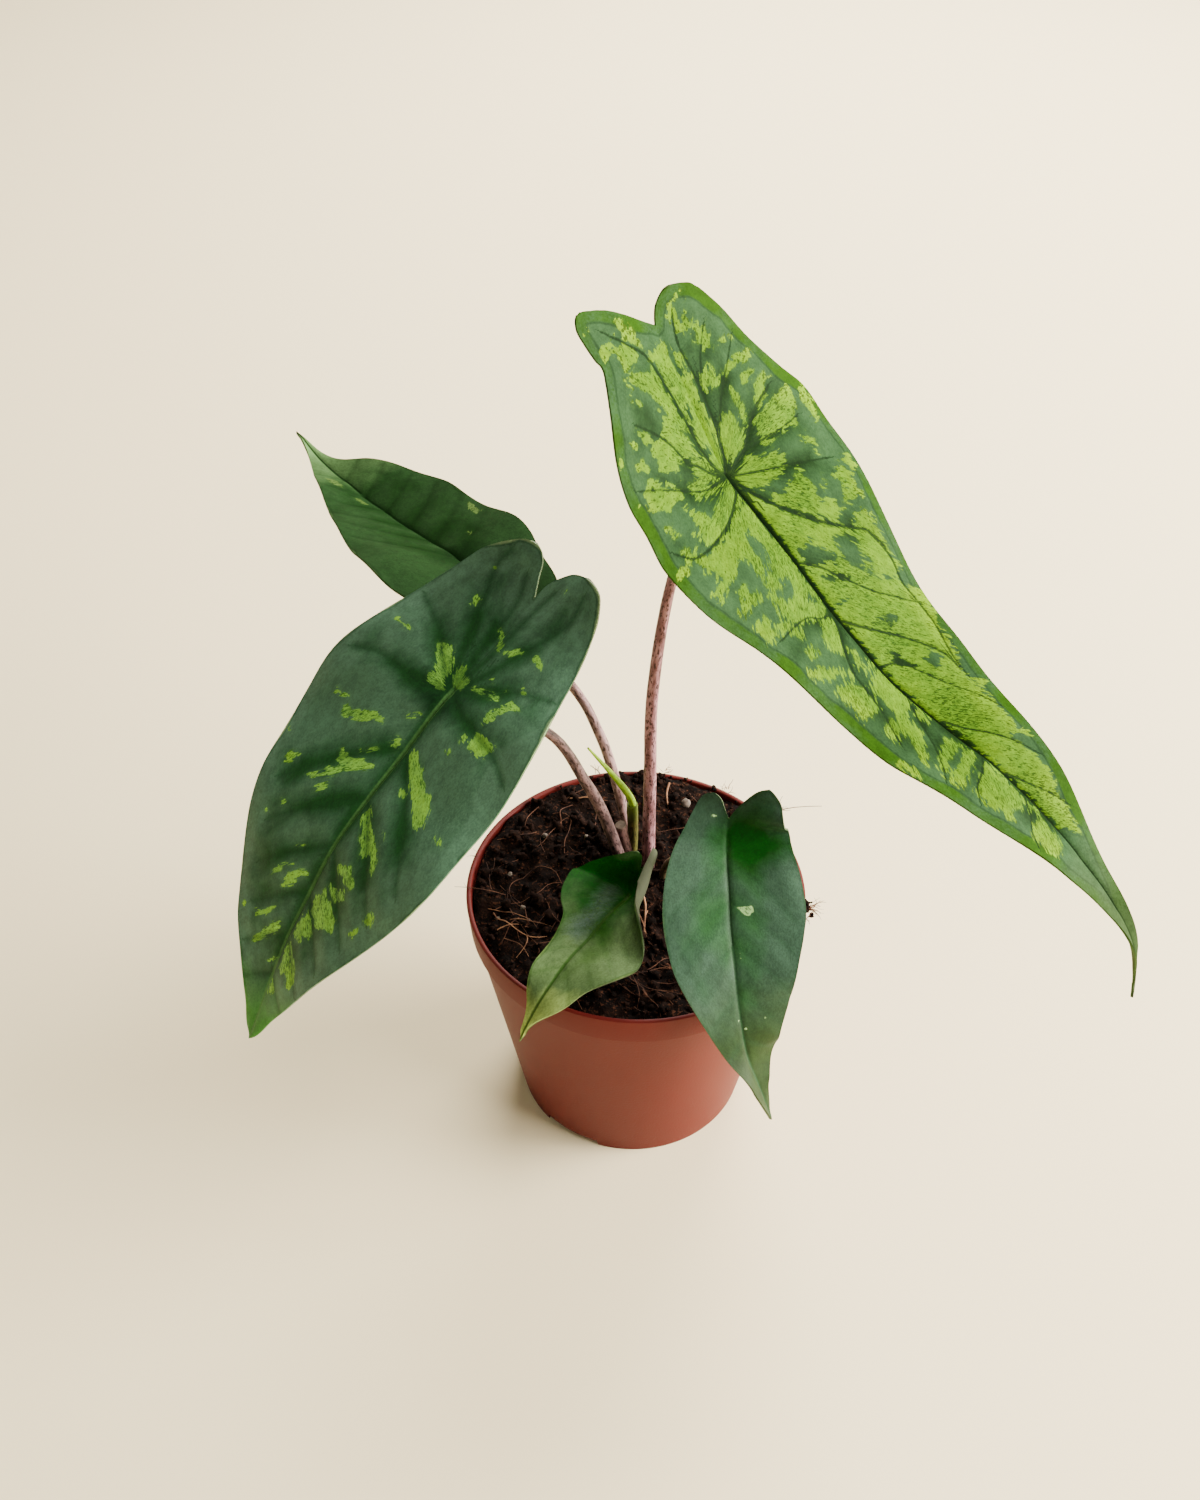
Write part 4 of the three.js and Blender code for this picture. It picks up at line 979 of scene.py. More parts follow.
    # Cloudy patches 4 mm wide that lighten and darken the skin at random
    blotches = add(tree, "TexNoise", {"Vector": leaf, "Scale": 0.24, "Detail": 4.0,
                                   "Roughness": 0.65})
    blotches = add(tree, "Math", {0: blotches, 1: -0.5}, operation="ADD")
    shade = add(tree, "Math", {0: teeth, 1: -0.5}, operation="ADD")
    shade = add(tree, "Math", {0: shade, 1: 0.12, 2: cells}, operation="MULTIPLY_ADD")
    shade = add(tree, "Math", {0: blotches, 1: 0.9, 2: shade}, operation="MULTIPLY_ADD")
    shade = add(tree, "MapRange", {"Value": shade, "From Min": 0.3, "From Max": 0.7,
                                   "To Min": 0.78, "To Max": 1.2})
    tint = add(tree, "Mix", {0: 1.0, 6: tint, 7: shade}, data_type="RGBA", blend_type="MULTIPLY")
    turned_over = add(tree, "Attribute", {}, attribute_name="under").outputs["Fac"]
    lower = add(tree, "Mix", {0: cells, 6: linear(under[0]), 7: linear(under[1])},
                data_type="RGBA")
    tint = add(tree, "Mix", {0: turned_over, 6: tint, 7: lower}, data_type="RGBA")
    tree.links.new(tint.outputs[2], shader.inputs["Base Color"])
    # Skin cells and the finest net of veins, drawn at 0.8 mm so that they show
    relief = add(tree, "Bump", {"Strength": 0.3, "Distance": 0.00015, "Height": cells})
    tree.links.new(relief.outputs[0], shader.inputs["Normal"])
    return made


# Oldest leaf, tall at the right. More pale than green: the splashes fill the
# fields between dark veins and leave islands and a plain green margin.

TALL_VEINS = [
    (1.25, [(-1, 0), (20, 0), (40, 0), (58, 0), (72, 0)]),
    (0.45, [(70, 0), (100, 0), (140, 0), (175, 0)]),
    (0.7, [(0, 0), (5, -2), (10, -4), (18, -8.5), (25, -13.5), (32, -20), (37, -25.5),
           (41, -29.5), (48, -31.5)]),
    (0.45, [(41, -29.5), (52, -31), (60, -28.5), (66, -28.6), (76, -27), (86, -22.5),
            (95, -20.5)]),
    (0.35, [(33, -1.5), (38, -6), (46, -11), (54, -16), (60, -21), (66, -26), (69, -29)]),
    (0.5, [(54, -0.8), (60, -5), (66, -10), (72, -14.5), (77, -17.5), (84, -20.5), (92, -20.5)]),
    (0.3, [(72, -1), (76, -7), (83, -10), (92, -13.5), (100, -17), (108, -19)]),
    (0.35, [(96, -1), (103, -4), (110, -8), (118, -12), (125, -14)]),
    (0.3, [(120, -0.8), (126, -3), (134, -6.5), (141, -9)]),
    (0.6, [(0, 0), (4.5, 1.5), (7, 7), (8.8, 12), (9.8, 18), (10, 26), (8.5, 33), (4, 37)]),
    (0.55, [(46, 0.8), (53, 2), (59, 6.5), (66, 10.5), (74, 12), (82, 14), (90, 18)]),
    (0.25, [(50, 2), (48, 7), (45, 11), (43.5, 17), (43, 26)]),
    (0.35, [(84, 0.8), (90, 5), (97, 9), (103, 14), (107, 19)]),
    (0.4, [(112, 0.8), (114, 6), (115, 12), (118, 16)]),
    (0.3, [(128, 0.6), (133, 5), (136, 10), (140, 13)]),
    (0.9, [(0, 0), (-1.2, -5), (-2.5, -10), (-5.5, -14), (-9, -18.5), (-11.5, -24), (-13, -30)]),
    (0.6, [(0, 0), (-5, -2.3), (-12, -4), (-20, -4.8), (-30, -5), (-40, -4.5), (-48, -7)]),
    (0.6, [(0, 0), (-5, 3.8), (-12, 5.4), (-22, 6.4), (-33, 7.8), (-43, 10), (-50, 16),
           (-57, 23)]),
    (0.5, [(0, 0), (-4, 6), (-9, 10), (-13, 14), (-20, 17.5), (-26, 22), (-31, 27)]),
    (0.3, [(0, 0), (-1, 6), (-3, 14), (-8, 22), (-13, 30), (-16, 36)]),
    (0.3, [(-2.5, -10), (-1.5, -18), (0, -26), (1, -36)]),
    (0.3, [(-12, -4), (-20, -11), (-27, -19), (-32, -25)]),
    (0.25, [(-25, -5), (-33, -10), (-40, -16)]),
    (0.3, [(0, 0), (4, -8), (8, -16), (13, -26), (18, -37)]),
]
# Outlines of the pale splashes and of the dark islands in them, as (s, t) in mm
TALL_SPLASHES = [
    [(7.6, 1.6), (9, 6), (10.4, 12), (11.2, 20), (10.4, 28), (9.6, 32.5), (13, 33), (15, 31),
     (18, 30), (19.3, 36), (22.5, 35.6), (21.6, 30), (20, 26), (18.4, 21), (19, 18.3),
     (25.5, 17.6), (26, 14), (22.5, 12.6), (15.5, 12), (15, 9), (22, 8.6), (25, 10.5),
     (26.5, 12), (26.5, 17), (31, 17.5), (32, 20), (35.5, 19.5), (39, 20), (42.6, 17.5),
     (44.5, 15), (49, 4.5), (49, 1.4)],
    [(34.5, 25.5), (34.7, 31), (41.2, 31), (42.5, 18), (40.5, 18), (39.5, 25)],
    [(43.4, 17), (47, 17.5), (47.5, 19.5), (43.8, 21)],
    [(27, 21.5), (26.8, 27), (28, 32), (31.4, 32), (30.4, 26), (30.3, 22)],
    [(24, 24.5), (23.6, 28.3), (27.2, 28), (26.8, 24.8)],
    [(7, 1.2), (8.3, 7), (9.3, 14), (9.8, 20), (9.4, 25.5), (4.2, 27.6), (5, 25), (3, 24),
     (-3.8, 24), (0, 21), (3.6, 18.5), (2.6, 14), (1.8, 8), (0.6, 2)],
    [(9.8, 28), (10.2, 32), (8.8, 35.6), (4.4, 35.4), (6.5, 31.5)],
    [(7.6, 37.8), (7.4, 42), (10.2, 41.9), (10.5, 38)],
    [(1.2, 31.3), (0.2, 33.5), (-3, 35), (-1, 31.8)],
    [(0.4, 8.2), (-0.8, 13), (-2.6, 18), (-7.5, 18), (-5.5, 14), (-6, 12.6), (-3, 9.5)],
    [(1, 4.2), (-8, 4.3), (-13, 12.5), (-8, 13.8), (-6, 12), (-1.5, 7)],
    [(-4.4, 22.5), (-6, 26), (-5.8, 30), (-9.5, 36), (-13.2, 38.6), (-12.6, 36.4),
     (-15.8, 35.6), (-14.5, 32), (-16.2, 31), (-14.6, 28), (-11, 24.5), (-8, 22)],
    [(-11, 19.2), (-13, 21), (-16, 25.5), (-17, 26.2), (-22, 25.6), (-24.4, 23.4),
     (-23.5, 18.8), (-25.5, 17), (-30, 16.7), (-27, 13.5), (-19, 9.5), (-11.5, 8),
     (-14, 15), (-14.5, 18)],
    [(-25.4, 24), (-25, 26.5), (-29.6, 28), (-28.6, 25.2)],
    [(-18.6, 30.2), (-20.5, 33.4), (-24, 34), (-22, 30.5)],
    [(-26, 30.2), (-25.9, 33), (-28, 33), (-27.8, 30.3)],
    [(-24.6, 37.2), (-24.6, 38.6), (-27, 38.6), (-27, 37.2)],
    [(-1.6, 0.4), (-1.8, 2.4), (-8, 4.6), (-20, 5.6), (-30, 7), (-39, 8.6), (-43.5, 8.2),
     (-44, 1), (-42, -0.4), (-33, -0.6), (-30, -2.4), (-14, -3), (-8, -2.6)],
    [(-18, 8), (-24, 13), (-31, 15), (-38, 20), (-43.8, 25), (-43, 21), (-41, 17.5),
     (-39.5, 12), (-41.5, 9.4), (-33, 8.6)],
    [(-44.5, 14.5), (-45, 22), (-49.4, 22.6), (-50, 26.8), (-53, 26.5), (-52.4, 21),
     (-50, 17), (-47, 14)],
    [(-46, 10.5), (-50, 13.5), (-54, 17.8), (-57, 17.5), (-58.5, 15.5), (-54, 12)],
    [(-34, 22.4), (-38.5, 28), (-39.4, 26.6), (-36, 22.5)],
    [(-58.6, 27.5), (-58.6, 29.5), (-60, 29.5), (-60, 27.5)],
    [(5.5, -0.7), (9, -2.6), (16, -7), (24, -12.6), (31, -18.5), (36.5, -24.5), (42, -21.5),
     (50, -21), (50, -0.7)],
    [(12.5, -9), (13.5, -16), (12.2, -22.5), (20, -22.8), (24, -21), (27.5, -26.5),
     (30.5, -26), (32, -21), (24, -14), (16, -8)],
    [(10.2, -18.5), (9.2, -7), (7.2, -4.5), (5, -1), (-1, -1), (1, -5), (-1.2, -9),
     (-0.8, -12), (1.4, -9.5), (2.2, -14), (3, -18.5), (5.5, -21), (8, -20)],
    [(0.4, -17.4), (0.8, -26), (2.8, -33), (-0.8, -37), (-3, -39), (-6, -37.5),
     (-10.4, -36.5), (-10, -28), (-8.6, -24), (-8.2, -18)],
    [(-2, -3.2), (-3.2, -9), (-4.5, -12.5), (-13, -12.6), (-16.5, -9), (-14, -6), (-13, -5),
     (-11, -3.8), (-8, -3.2)],
    [(-8, -14), (-8.4, -16.3), (-17, -16.6), (-20, -15), (-16, -13.8)],
    [(-11, -22.2), (-11.4, -27), (-14, -27.5), (-15, -32), (-17.4, -30), (-17.3, -25),
     (-15.8, -22.2)],
    [(-18.8, -20.3), (-19.6, -27), (-21.4, -26.4), (-21.4, -20.5)],
    [(-23, -28.8), (-25.4, -28.8), (-26.2, -21), (-25.8, -14.2), (-24.2, -14.4), (-24, -21)],
    [(-24, -11.8), (-30, -11.8), (-29, -6.2), (-24.4, -6.2)],
    [(-31.8, -25), (-33.4, -24.5), (-33.6, -18.5), (-32, -18.5)],
    [(-33, -15), (-36, -16.6), (-41, -17), (-41, -12), (-38, -9.5), (-34, -13)],
    [(-41, -7.4), (-46, -5.2), (-50, -5.5), (-51, -8), (-47, -8), (-44, -7.4)],
    [(-41, -12), (-46, -11.4), (-47, -9), (-42, -8.5)],
    [(-50, -13), (-52.8, -13), (-51, -8)],
    [(-30, -4.2), (-33, -2.4), (-39.5, -1), (-36, -4)],
    [(6.4, -41.5), (2.8, -41.3), (2, -40.2), (-4, -40), (-6, -45), (1.5, -45.5), (5.6, -44.8)],
    [(14.2, -36), (14.2, -33.4), (12.8, -33.4), (12.8, -36)],
    [(11.9, -35.6), (11.9, -33), (10.3, -33), (10.3, -35.6)],
    [(9, -35), (9, -31), (7, -31), (7, -35)],
    [(22, -28), (22, -25), (20.3, -25), (20.3, -28)],
    [(21, -38.4), (22.3, -31.5), (27, -31.6), (27, -34), (26, -38.4)],
    [(21, -44), (21, -41), (25.3, -41), (25.3, -44)],
    [(27.4, -37), (27, -33.5), (28.2, -27.2), (30.6, -27), (32.2, -37)],
    [(35, -34), (35, -29), (37.5, -24), (42, -22), (50, -21.5), (54, -22.5), (57, -27),
     (57, -32), (50, -32), (43, -34)],
    [(50, -0.7), (50, -21), (54, -22.5), (58, -27.5), (62, -28), (66, -33.8), (71, -33),
     (75, -30), (77.5, -26.5), (82, -26.6), (89, -23), (92, -20.5), (98, -20), (105, -19.2),
     (112, -17.5), (116, -15.2), (115, -12.6), (122, -12), (126, -12.6), (131, -11),
     (136, -9.6), (143, -8.2), (145, -6.4), (149.8, -5.6), (147, -4), (143.5, -1),
     (136, -0.5), (100, -0.7)],
    [(119.8, -17.2), (117, -15.8), (116, -17.6)],
    [(100.4, -23.4), (97.6, -21), (99.4, -20)],
    [(49, 3.4), (49.5, 8), (51.5, 12.4), (57, 12), (60.5, 9), (57, 6.5), (53.5, 3.4)],
    [(60.5, 5.5), (63.5, 7.4), (69, 7.4), (64.5, 4.4)],
    [(67, 3.6), (67.2, 5), (70, 4.8), (70, 1), (68.9, 1)],
    [(71, 0.9), (72.5, 10.5), (80, 10.6), (87, 11), (88, 8), (86, 6), (85.5, 2), (87, 0.9)],
    [(67.5, 14), (65.2, 17.6), (65, 22.4), (72, 21), (77, 22), (78.5, 16), (79, 12.2),
     (72, 12)],
    [(66.5, 11.8), (64, 12.4), (60, 17), (56.5, 21), (54, 25.8), (58, 26), (60, 24),
     (62, 20), (63, 16)],
    [(54, 17), (52.8, 22), (50, 21.8), (51.4, 17.2)],
    [(82.2, 12), (84, 18.8), (88.8, 18.8), (87, 12.2)],
    [(85, 9.5), (88, 8), (93, 9), (97, 13.5), (99.5, 18.8), (97.5, 19), (92, 15.5), (88, 14),
     (83, 11)],
    # This whitish spot beside the midrib is a painted highlight, the skin's sheen drawn as a
    # splash
    [(88.4, 1), (88.6, 4.6), (93, 4), (93, 1)],
    [(100.4, 3), (100.2, 10), (102.5, 17.5), (105, 17.4), (105, 8), (105, 2.5)],
    [(106, 2), (107.2, 17.4), (112, 17), (111, 9), (110.6, 2)],
    [(113.5, 2), (115, 14.5), (120, 15), (127, 14), (129, 12.5), (127.6, 9), (130, 6.5),
     (129, 2.5), (120, 2)],
    [(130.4, 1.2), (130.4, 4.4), (133.8, 4.4), (133.8, 1.2)],
    [(135, 2.6), (135.2, 9), (137, 11.8), (142, 11.8), (146, 10.4), (147.2, 8), (146, 4.5),
     (143, 2.7)],
    [(99, 23.4), (91.6, 23.3), (92.2, 25.5), (99.8, 25.5)],
]
TALL_ISLANDS = [
    [(32, 8.5), (31.5, 12), (33, 16.5), (36.5, 15), (36, 9)],
    [(41, 3.5), (41.4, 7), (43.4, 6.5), (43.8, 3.5)],
    [(-21, 2), (-21.5, 5), (-25.5, 4.5), (-25, 2.2)],
    [(-9, 1.5), (-9, 4.5), (-12.5, 4.2), (-12, 2.5)],
    [(34.5, -15.3), (36.5, -22), (41, -21.8), (46.5, -20.5), (47, -17.5), (44, -15.5),
     (41, -14.5)],
    [(38.5, -14), (40, -11), (38, -7), (35.5, -3.5), (29.5, -2.6), (30.5, -6), (29, -8),
     (33, -10), (36, -12.5)],
    [(46, -12), (45, -9.5), (43, -6), (40.8, -4.4), (41, -7.5), (43, -11)],
    [(67, -13.5), (65, -13), (61.5, -9.5), (60.5, -10.5), (63, -14.5), (65.5, -17.5)],
    [(84.5, -19), (85.5, -14), (80, -14.2), (82, -17), (79, -18.5)],
    [(45, 0.5), (50, 3.2), (57, 3.4), (62, 5), (67, 4.4), (68, 1), (69, 0.3)],
    [(12.4, -22.5), (14, -15), (15, -13), (13, -8), (11.5, -5.5), (10, -6.5), (9.8, -10.5),
     (10.4, -14), (10.8, -19)],
    [(72.5, -8), (75, -8.5), (79, -9.5), (82, -9), (76, -6.5), (72, -5)],
]

tall = blade("tall_right", TALL_VEINS, TALL_SPLASHES, TALL_ISLANDS, 1.05, 0.5, 1.0)
tall.data.materials.append(leaf_skin(
    "splashed_leaf_skin", ground=("#0d2108", "#2a4527"), pale=("#3c5f0f", "#5f8109"),
    band=("#244306", 3.4), vein=("#0d1f0a", 0.9, 0.4), midrib=("#0c1c09", 0.7),
    heart=("#0c1c09", 0, 0, 3), tip=("#324426", 150, 180), under=("#384c20", "#445929"),
    jag=2.4, roughness=0.62, gloss=0.02))

# Large front leaf. Dark blue-green with a blue-grey sheen painted into its colour,
# a paler midrib and scattered splashes that lean forward between the veins.


def laterals(starts, reach, lean, bow, width):
    """Side veins that leave the midrib in pairs and bow forward to the margin."""
    lines = []
    for start in starts:
        for side in (-1, 1):
            x = np.linspace(0, reach(start), 6)
            lines.append((width, [(start + lean * v + bow * v * v, side * v) for v in x]))
    return lines


FRONT_VEINS = laterals((22, 41, 59, 76, 92, 107), lambda s: 38 - 0.26 * s, 0.75, 0.008, 0.3)
FRONT_VEINS += [
    (1.6, [(-1, 0), (25, 0), (50, 0), (75, 0), (100, 0)]),
    (0.45, [(0, 0), (3.4, 8), (4.6, 18), (5.2, 30), (9, 40)]),
    (0.45, [(0, 0), (3.2, -8), (4.2, -18), (6, -30), (10, -38)]),
    (0.3, [(0, 0), (-5, 9), (-12, 20), (-17, 33)]),
    (0.3, [(0, 0), (-5, -9), (-12, -20), (-17, -32)]),
    (0.3, [(0, 0), (-10, 6), (-24, 12), (-38, 18), (-46, 17)]),
    (0.3, [(0, 0), (-10, -6), (-24, -12), (-38, -18), (-47, -17)]),
    (0.3, [(0, 0), (-16, 2.4), (-32, 3.5), (-42, 7)]),
    (0.3, [(0, 0), (-16, -2.4), (-32, -3.5), (-43, -6)]),
]
FRONT_SPLASHES = [
    [(55.8, -20.8), (56.2, -19.6), (55.2, -18.2), (52.8, -16.8), (52.5, -15.2), (54.9, -13.2),
     (55.2, -12), (52.9, -10.4), (51.6, -7.8), (48.5, -6.2), (47, -2.9), (42.2, -3.2),
     (46.3, -10), (49.2, -15.4), (51.5, -19.6)],
    [(37.7, -23.5), (35.5, -20.4), (32.3, -16.9), (29.6, -11.5), (26.2, -6.9), (22.9, -2.9),
     (20.4, -2.9), (20, -4.6), (21.9, -8), (22.7, -11.2), (25, -13.8), (24.5, -16.2),
     (26.9, -17.8), (26.8, -20.4), (29.6, -23.5), (33.5, -24.6), (35, -25.8)],
    [(7.7, -27.7), (9, -25.5), (8.6, -23), (9.4, -21), (8.8, -19.6), (4, -19.2), (3.4, -22),
     (2.9, -27), (3.5, -28.4)],
    [(9.6, -17.8), (9.2, -16), (6.2, -16.2), (6.5, -17.6)],
    [(14.4, -16.3), (14, -14), (12.7, -14.4), (13, -16)],
    [(35.2, -35.6), (35.3, -32), (34, -31.6), (33.8, -34.6)],
    [(33, -12.2), (33.2, -9.4), (31.6, -9.2), (31.5, -11.8)],
    [(46, -16.4), (45.8, -15), (44.6, -15.2)],
    [(0.2, -20), (0.4, -18.8), (-0.8, -17.7), (-3, -18), (-7.7, -20.8), (-10, -21.6),
     (-9.8, -25.4), (-9.2, -26.7), (-8, -25), (-6.5, -23), (-4.2, -22.2), (-1.5, -21.4)],
    [(-7.7, -17.7), (-6.8, -16.9), (-5.8, -11.5), (-4.2, -6.5), (-4.6, -5.4), (-6.3, -5.5),
     (-6.9, -10.8), (-7.8, -13), (-9, -16.2)],
    [(-2.2, -2.3), (-1.7, 0), (-2.5, 1.5), (-3.8, 2.7), (-6.2, 3.5), (-8.7, 3.3), (-8.7, 1.7),
     (-6.8, 1.4), (-5.4, 0), (-6.8, -0.8), (-6.8, -1.9), (-5.4, -2.9)],
    [(0.8, 2.3), (1.7, 3.8), (2.5, 9.2), (0, 10.8), (-1.5, 8.8), (-4.2, 11.5), (-5.8, 13.8),
     (-8.8, 16.3), (-9.6, 14.6), (-10.6, 10.8), (-8, 7.3), (-6.5, 5.4), (-4.6, 4.8),
     (-1.5, 4.8)],
    [(-5, 27), (-5, 29.2), (-5.8, 31.5), (-5.5, 34.2), (-6.4, 34), (-6.3, 27.4)],
    [(10.8, 3), (12.7, 3.8), (14.8, 7), (13.2, 6.9), (12.5, 5.8), (10.8, 4.2)],
    [(24.5, 2.7), (25, 3.8), (24.4, 5.5), (20.8, 5.4), (20.6, 3)],
    [(20.4, 11.5), (22.3, 16.2), (24.2, 17.7), (26.2, 23), (27.3, 25.4), (27.7, 28),
     (25.4, 28.5), (23.5, 27), (23.8, 24.6), (22.3, 23), (21.9, 20.8), (19.2, 15.4),
     (19.2, 13.8)],
    [(21.8, 29.2), (23, 31.5), (24.2, 36), (22.3, 35.8), (22.2, 33.8), (21.2, 30)],
    [(32.7, 4.8), (36.2, 8.5), (39.8, 12.7), (43.8, 15), (46.2, 18.8), (48.5, 22),
     (48.6, 23.8), (44.5, 18.8), (42.7, 18.8), (39.8, 15.8), (39, 18.5), (35, 18.8),
     (35.5, 16.5), (34.6, 13), (33.5, 10.8), (32.7, 6.5)],
    [(46.2, 14), (49.6, 15.4), (52, 18), (49.2, 17.8), (46.2, 15)],
    [(45.8, 30.6), (49.6, 32), (50.8, 33.8), (49.6, 34.8), (47.3, 35.2), (45.4, 31.5)],
    [(43.2, 40.4), (43.1, 41.6), (42.2, 41.8), (42.2, 40.5)],
    [(27.3, 7.7), (33, 13), (31.5, 12.7), (27.7, 9.2)],
    [(-24.2, 14.6), (-24.2, 16.5), (-26.5, 16.8), (-28.8, 16.2), (-28.8, 15)],
    [(-37.5, 17), (-37.6, 18.6), (-38.6, 18.8), (-38.4, 17.3)],
    [(-19.2, -3.5), (-18.6, -2.3), (-21.5, 0), (-23, 1.2), (-23.8, 2.7), (-25, 2.5),
     (-23.5, -0.4), (-21.5, -3)],
    [(-23, -11.2), (-20.4, -9.2), (-18.5, -6.9), (-18.5, -5.5), (-20, -5.5), (-23.5, -9.6)],
    [(-22.3, -22), (-22, -20.4), (-23, -18.5), (-23, -16.3), (-25, -16.2), (-24.6, -20),
     (-23.8, -21.5)],
    [(-13.5, -23.8), (-13.4, -21.6), (-14.8, -21.6), (-14.8, -23.5)],
    [(-10.3, -18), (-10.4, -16.6), (-11.8, -16.8)],
    [(-10.6, -10.6), (-10.8, -9), (-11.6, -9.6)],
    [(-44.8, -9.8), (-44.8, -8.6), (-46, -8.6), (-46, -9.8)],
    [(112, -4), (113.3, -3), (114, -1.3), (108.7, -1.2), (109.7, -3.3), (110.7, -4.1)],
    [(102, -12), (104.7, -11.3), (105.3, -9.7), (103, -7.7), (102.7, -6.3), (104.3, -6),
     (103.7, -3), (101, -3.3), (98.7, -2.3), (96, -2.1), (93.2, -3), (94, -5.3), (98, -10.7)],
    [(85, -10.7), (87, -9.7), (87.3, -8), (88.3, -7), (89.7, -7.7), (90.7, -6.7),
     (90.3, -2.7), (83.7, -2.1), (83, -3.7), (82, -4.7), (82.3, -6), (84.3, -10)],
    [(79.3, -18.3), (80.3, -16.3), (80, -14.7), (82.3, -11.3), (82.8, -9.7), (80.7, -7.7),
     (81.3, -5.7), (80.7, -3.7), (76, -4), (74.7, -3.7), (74, -5.3), (70.7, -6.3), (71, -7.7),
     (73.7, -12.7), (75.3, -16.3), (77.3, -17)],
    [(68.3, -16.3), (70.7, -13.7), (71.5, -12), (69.7, -7.3), (68.3, -7.3), (68.3, -9.3),
     (66.3, -14.3), (67.3, -16)],
    [(62.7, -16.8), (64.7, -16.3), (64, -12.7), (63.5, -6.7), (62.3, -6), (61.3, -8),
     (59, -11.7), (59.7, -13.3), (61, -14.3), (61.7, -16.3)],
    [(68.3, -30.3), (68.8, -28.3), (68, -26.7), (65, -26.8), (64, -28.7), (64.3, -30)],
    [(73.3, -26.5), (75, -25.7), (75, -24), (73.3, -24.1), (70.7, -26.3), (72, -26.7)],
    [(101.3, 0.7), (105, 2.5), (104.7, 3.2), (101.3, 1.7)],
    [(94, 3.3), (96.7, 6), (101, 9.3), (104.3, 12.3), (103, 13.2), (98.7, 10.7), (93.3, 7.3),
     (90, 4.7), (90.7, 4), (92.3, 4.3)],
    [(88.7, 9), (92.7, 11), (96, 14.3), (96.5, 15.3), (94, 15.9), (92.7, 13.3), (87.7, 9.3)],
    [(72.7, 3.3), (74.3, 6), (76, 7), (77, 6), (80.3, 9), (81, 10.3), (76, 10.3), (73.7, 8),
     (71, 4.7), (71.7, 3.5)],
    [(73, 9.7), (74.7, 12), (77.3, 12.1), (81.3, 16.1), (78, 16), (75, 13.3), (72.5, 10.3)],
    [(65.7, 9.3), (67, 11.3), (67.5, 12.5), (65.7, 10.7)],
    [(60.7, 24.7), (60.8, 26.3), (59.4, 26.4), (59.3, 25)],
    [(66.7, 28.8), (66.8, 30), (65.6, 30.2)],
    [(96, 21), (96, 22), (95, 22), (95, 21)],
]
front = blade("front_left", FRONT_VEINS, FRONT_SPLASHES, [], 0.75, 0.6, 1.1)
front.data.materials.append(leaf_skin(
    "dark_leaf_skin", ground=("#194d1f", "#588063"), pale=("#85c655", "#a1e43c"),
    band=("#8fae7a", 0.2), vein=("#184a1e", 0.6, 2.0), midrib=("#538545", 1.0),
    heart=("#0e3917", 2, 0, 9), tip=("#3f8a28", 105, 122), under=("#47583b", "#536245"),
    jag=1.2, roughness=0.5, gloss=0.2))

# Back leaf. As dark as the front one, pointing away, with a few pale flecks.

BACK_VEINS = laterals((0, 20, 40, 60, 80, 98), lambda s: 32 - 0.2 * s, 0.8, 0.01, 0.3)
BACK_SPLASHES = [
    [(92.1, -8), (100.1, -8), (95.9, -4.5), (87.9, -4.5)],
    [(24.8, 21.8), (34.8, 21.8), (39.2, 24.6), (29.2, 24.6)],
    [(11.4, 11), (13.9, 11), (15.1, 12.4), (12.6, 12.4)],
    [(70.6, -5), (77.6, -5), (76.4, -3.4), (69.4, -3.4)],
]
back = blade("back_left", BACK_VEINS, BACK_SPLASHES, [], 0.8, 0.25)
back.data.materials.append(leaf_skin(
    "back_leaf_skin", ground=("#102d0b", "#1e381a"), pale=("#445f26", "#4e6832"),
    band=("#314827", 0.1), vein=("#092206", 0.35, 2.2), midrib=("#0a2608", 1.0),
    heart=("#0e280b", 0, 0, 9), tip=("#567746", 84, 125), under=("#485a39", "#556645"),
    jag=1.2, roughness=0.8, gloss=0.02))

# Small right leaf. Blue-green and almost plain, hanging over the rim, with one
# pale splash beside the midrib and a few white specks.

SMALL_VEINS = laterals((0, 14, 29, 45, 60), lambda s: 21 - 0.16 * s, 0.7, 0.016, 0.1)
SMALL_SPLASHES = [
    [(18.2, -8), (18.4, -6.8), (19.4, -6.4), (19.2, -5), (17.2, -3.2), (16.2, -2.1), (16, -7.8)],
    [(57.2, -1.6), (57.3, -0.8), (56.4, -0.8), (56.2, -1.5)],
    [(54.2, -8.4), (54.2, -7.8), (53.6, -7.8), (53.6, -8.3)],
    [(54.1, 0.4), (54.1, 1), (53.4, 1), (53.4, 0.4)],
    [(42, 15.7), (42, 16.3), (41.4, 16.3), (41.4, 15.7)],
    [(33.6, -2.6), (33.6, -2), (32.9, -2), (32.9, -2.6)],
    [(32, -2.2), (32, -1.7), (31.6, -1.7), (31.6, -2.2)],
    [(-14.6, 4.2), (-14.4, 6.2), (-15.2, 5.9), (-15.1, 4.2)],
]
small = blade("small_right", SMALL_VEINS, SMALL_SPLASHES, [], 0.9, 0.4, 0.8)
# Its dark midrib line is partly the vein's own colour and partly painted shade, the shaded side
# of the raised midrib
small.data.materials.append(leaf_skin(
    "small_leaf_skin", ground=("#2a512b", "#36513e"), pale=("#9fcf7d", "#b4df96"),
    band=("#334e30", 0.1), vein=("#214127", 0.3, 1.6), midrib=("#1e3d21", 0.6),
    heart=("#0a4606", -7, -8, 12), tip=("#1e320c", 38, 66), under=("#48583b", "#546245"),
    jag=0.2, roughness=0.5, gloss=0.15))

# Youngest leaf. Still half unrolled, dark green at the stalk and pale towards
# the tip, with one lobe curled up to show its grey-green underside.

YOUNG_VEINS = laterals((0, 11, 22, 33, 44), lambda s: 17 - 0.14 * s, 1.0, 0.01, 0.1)
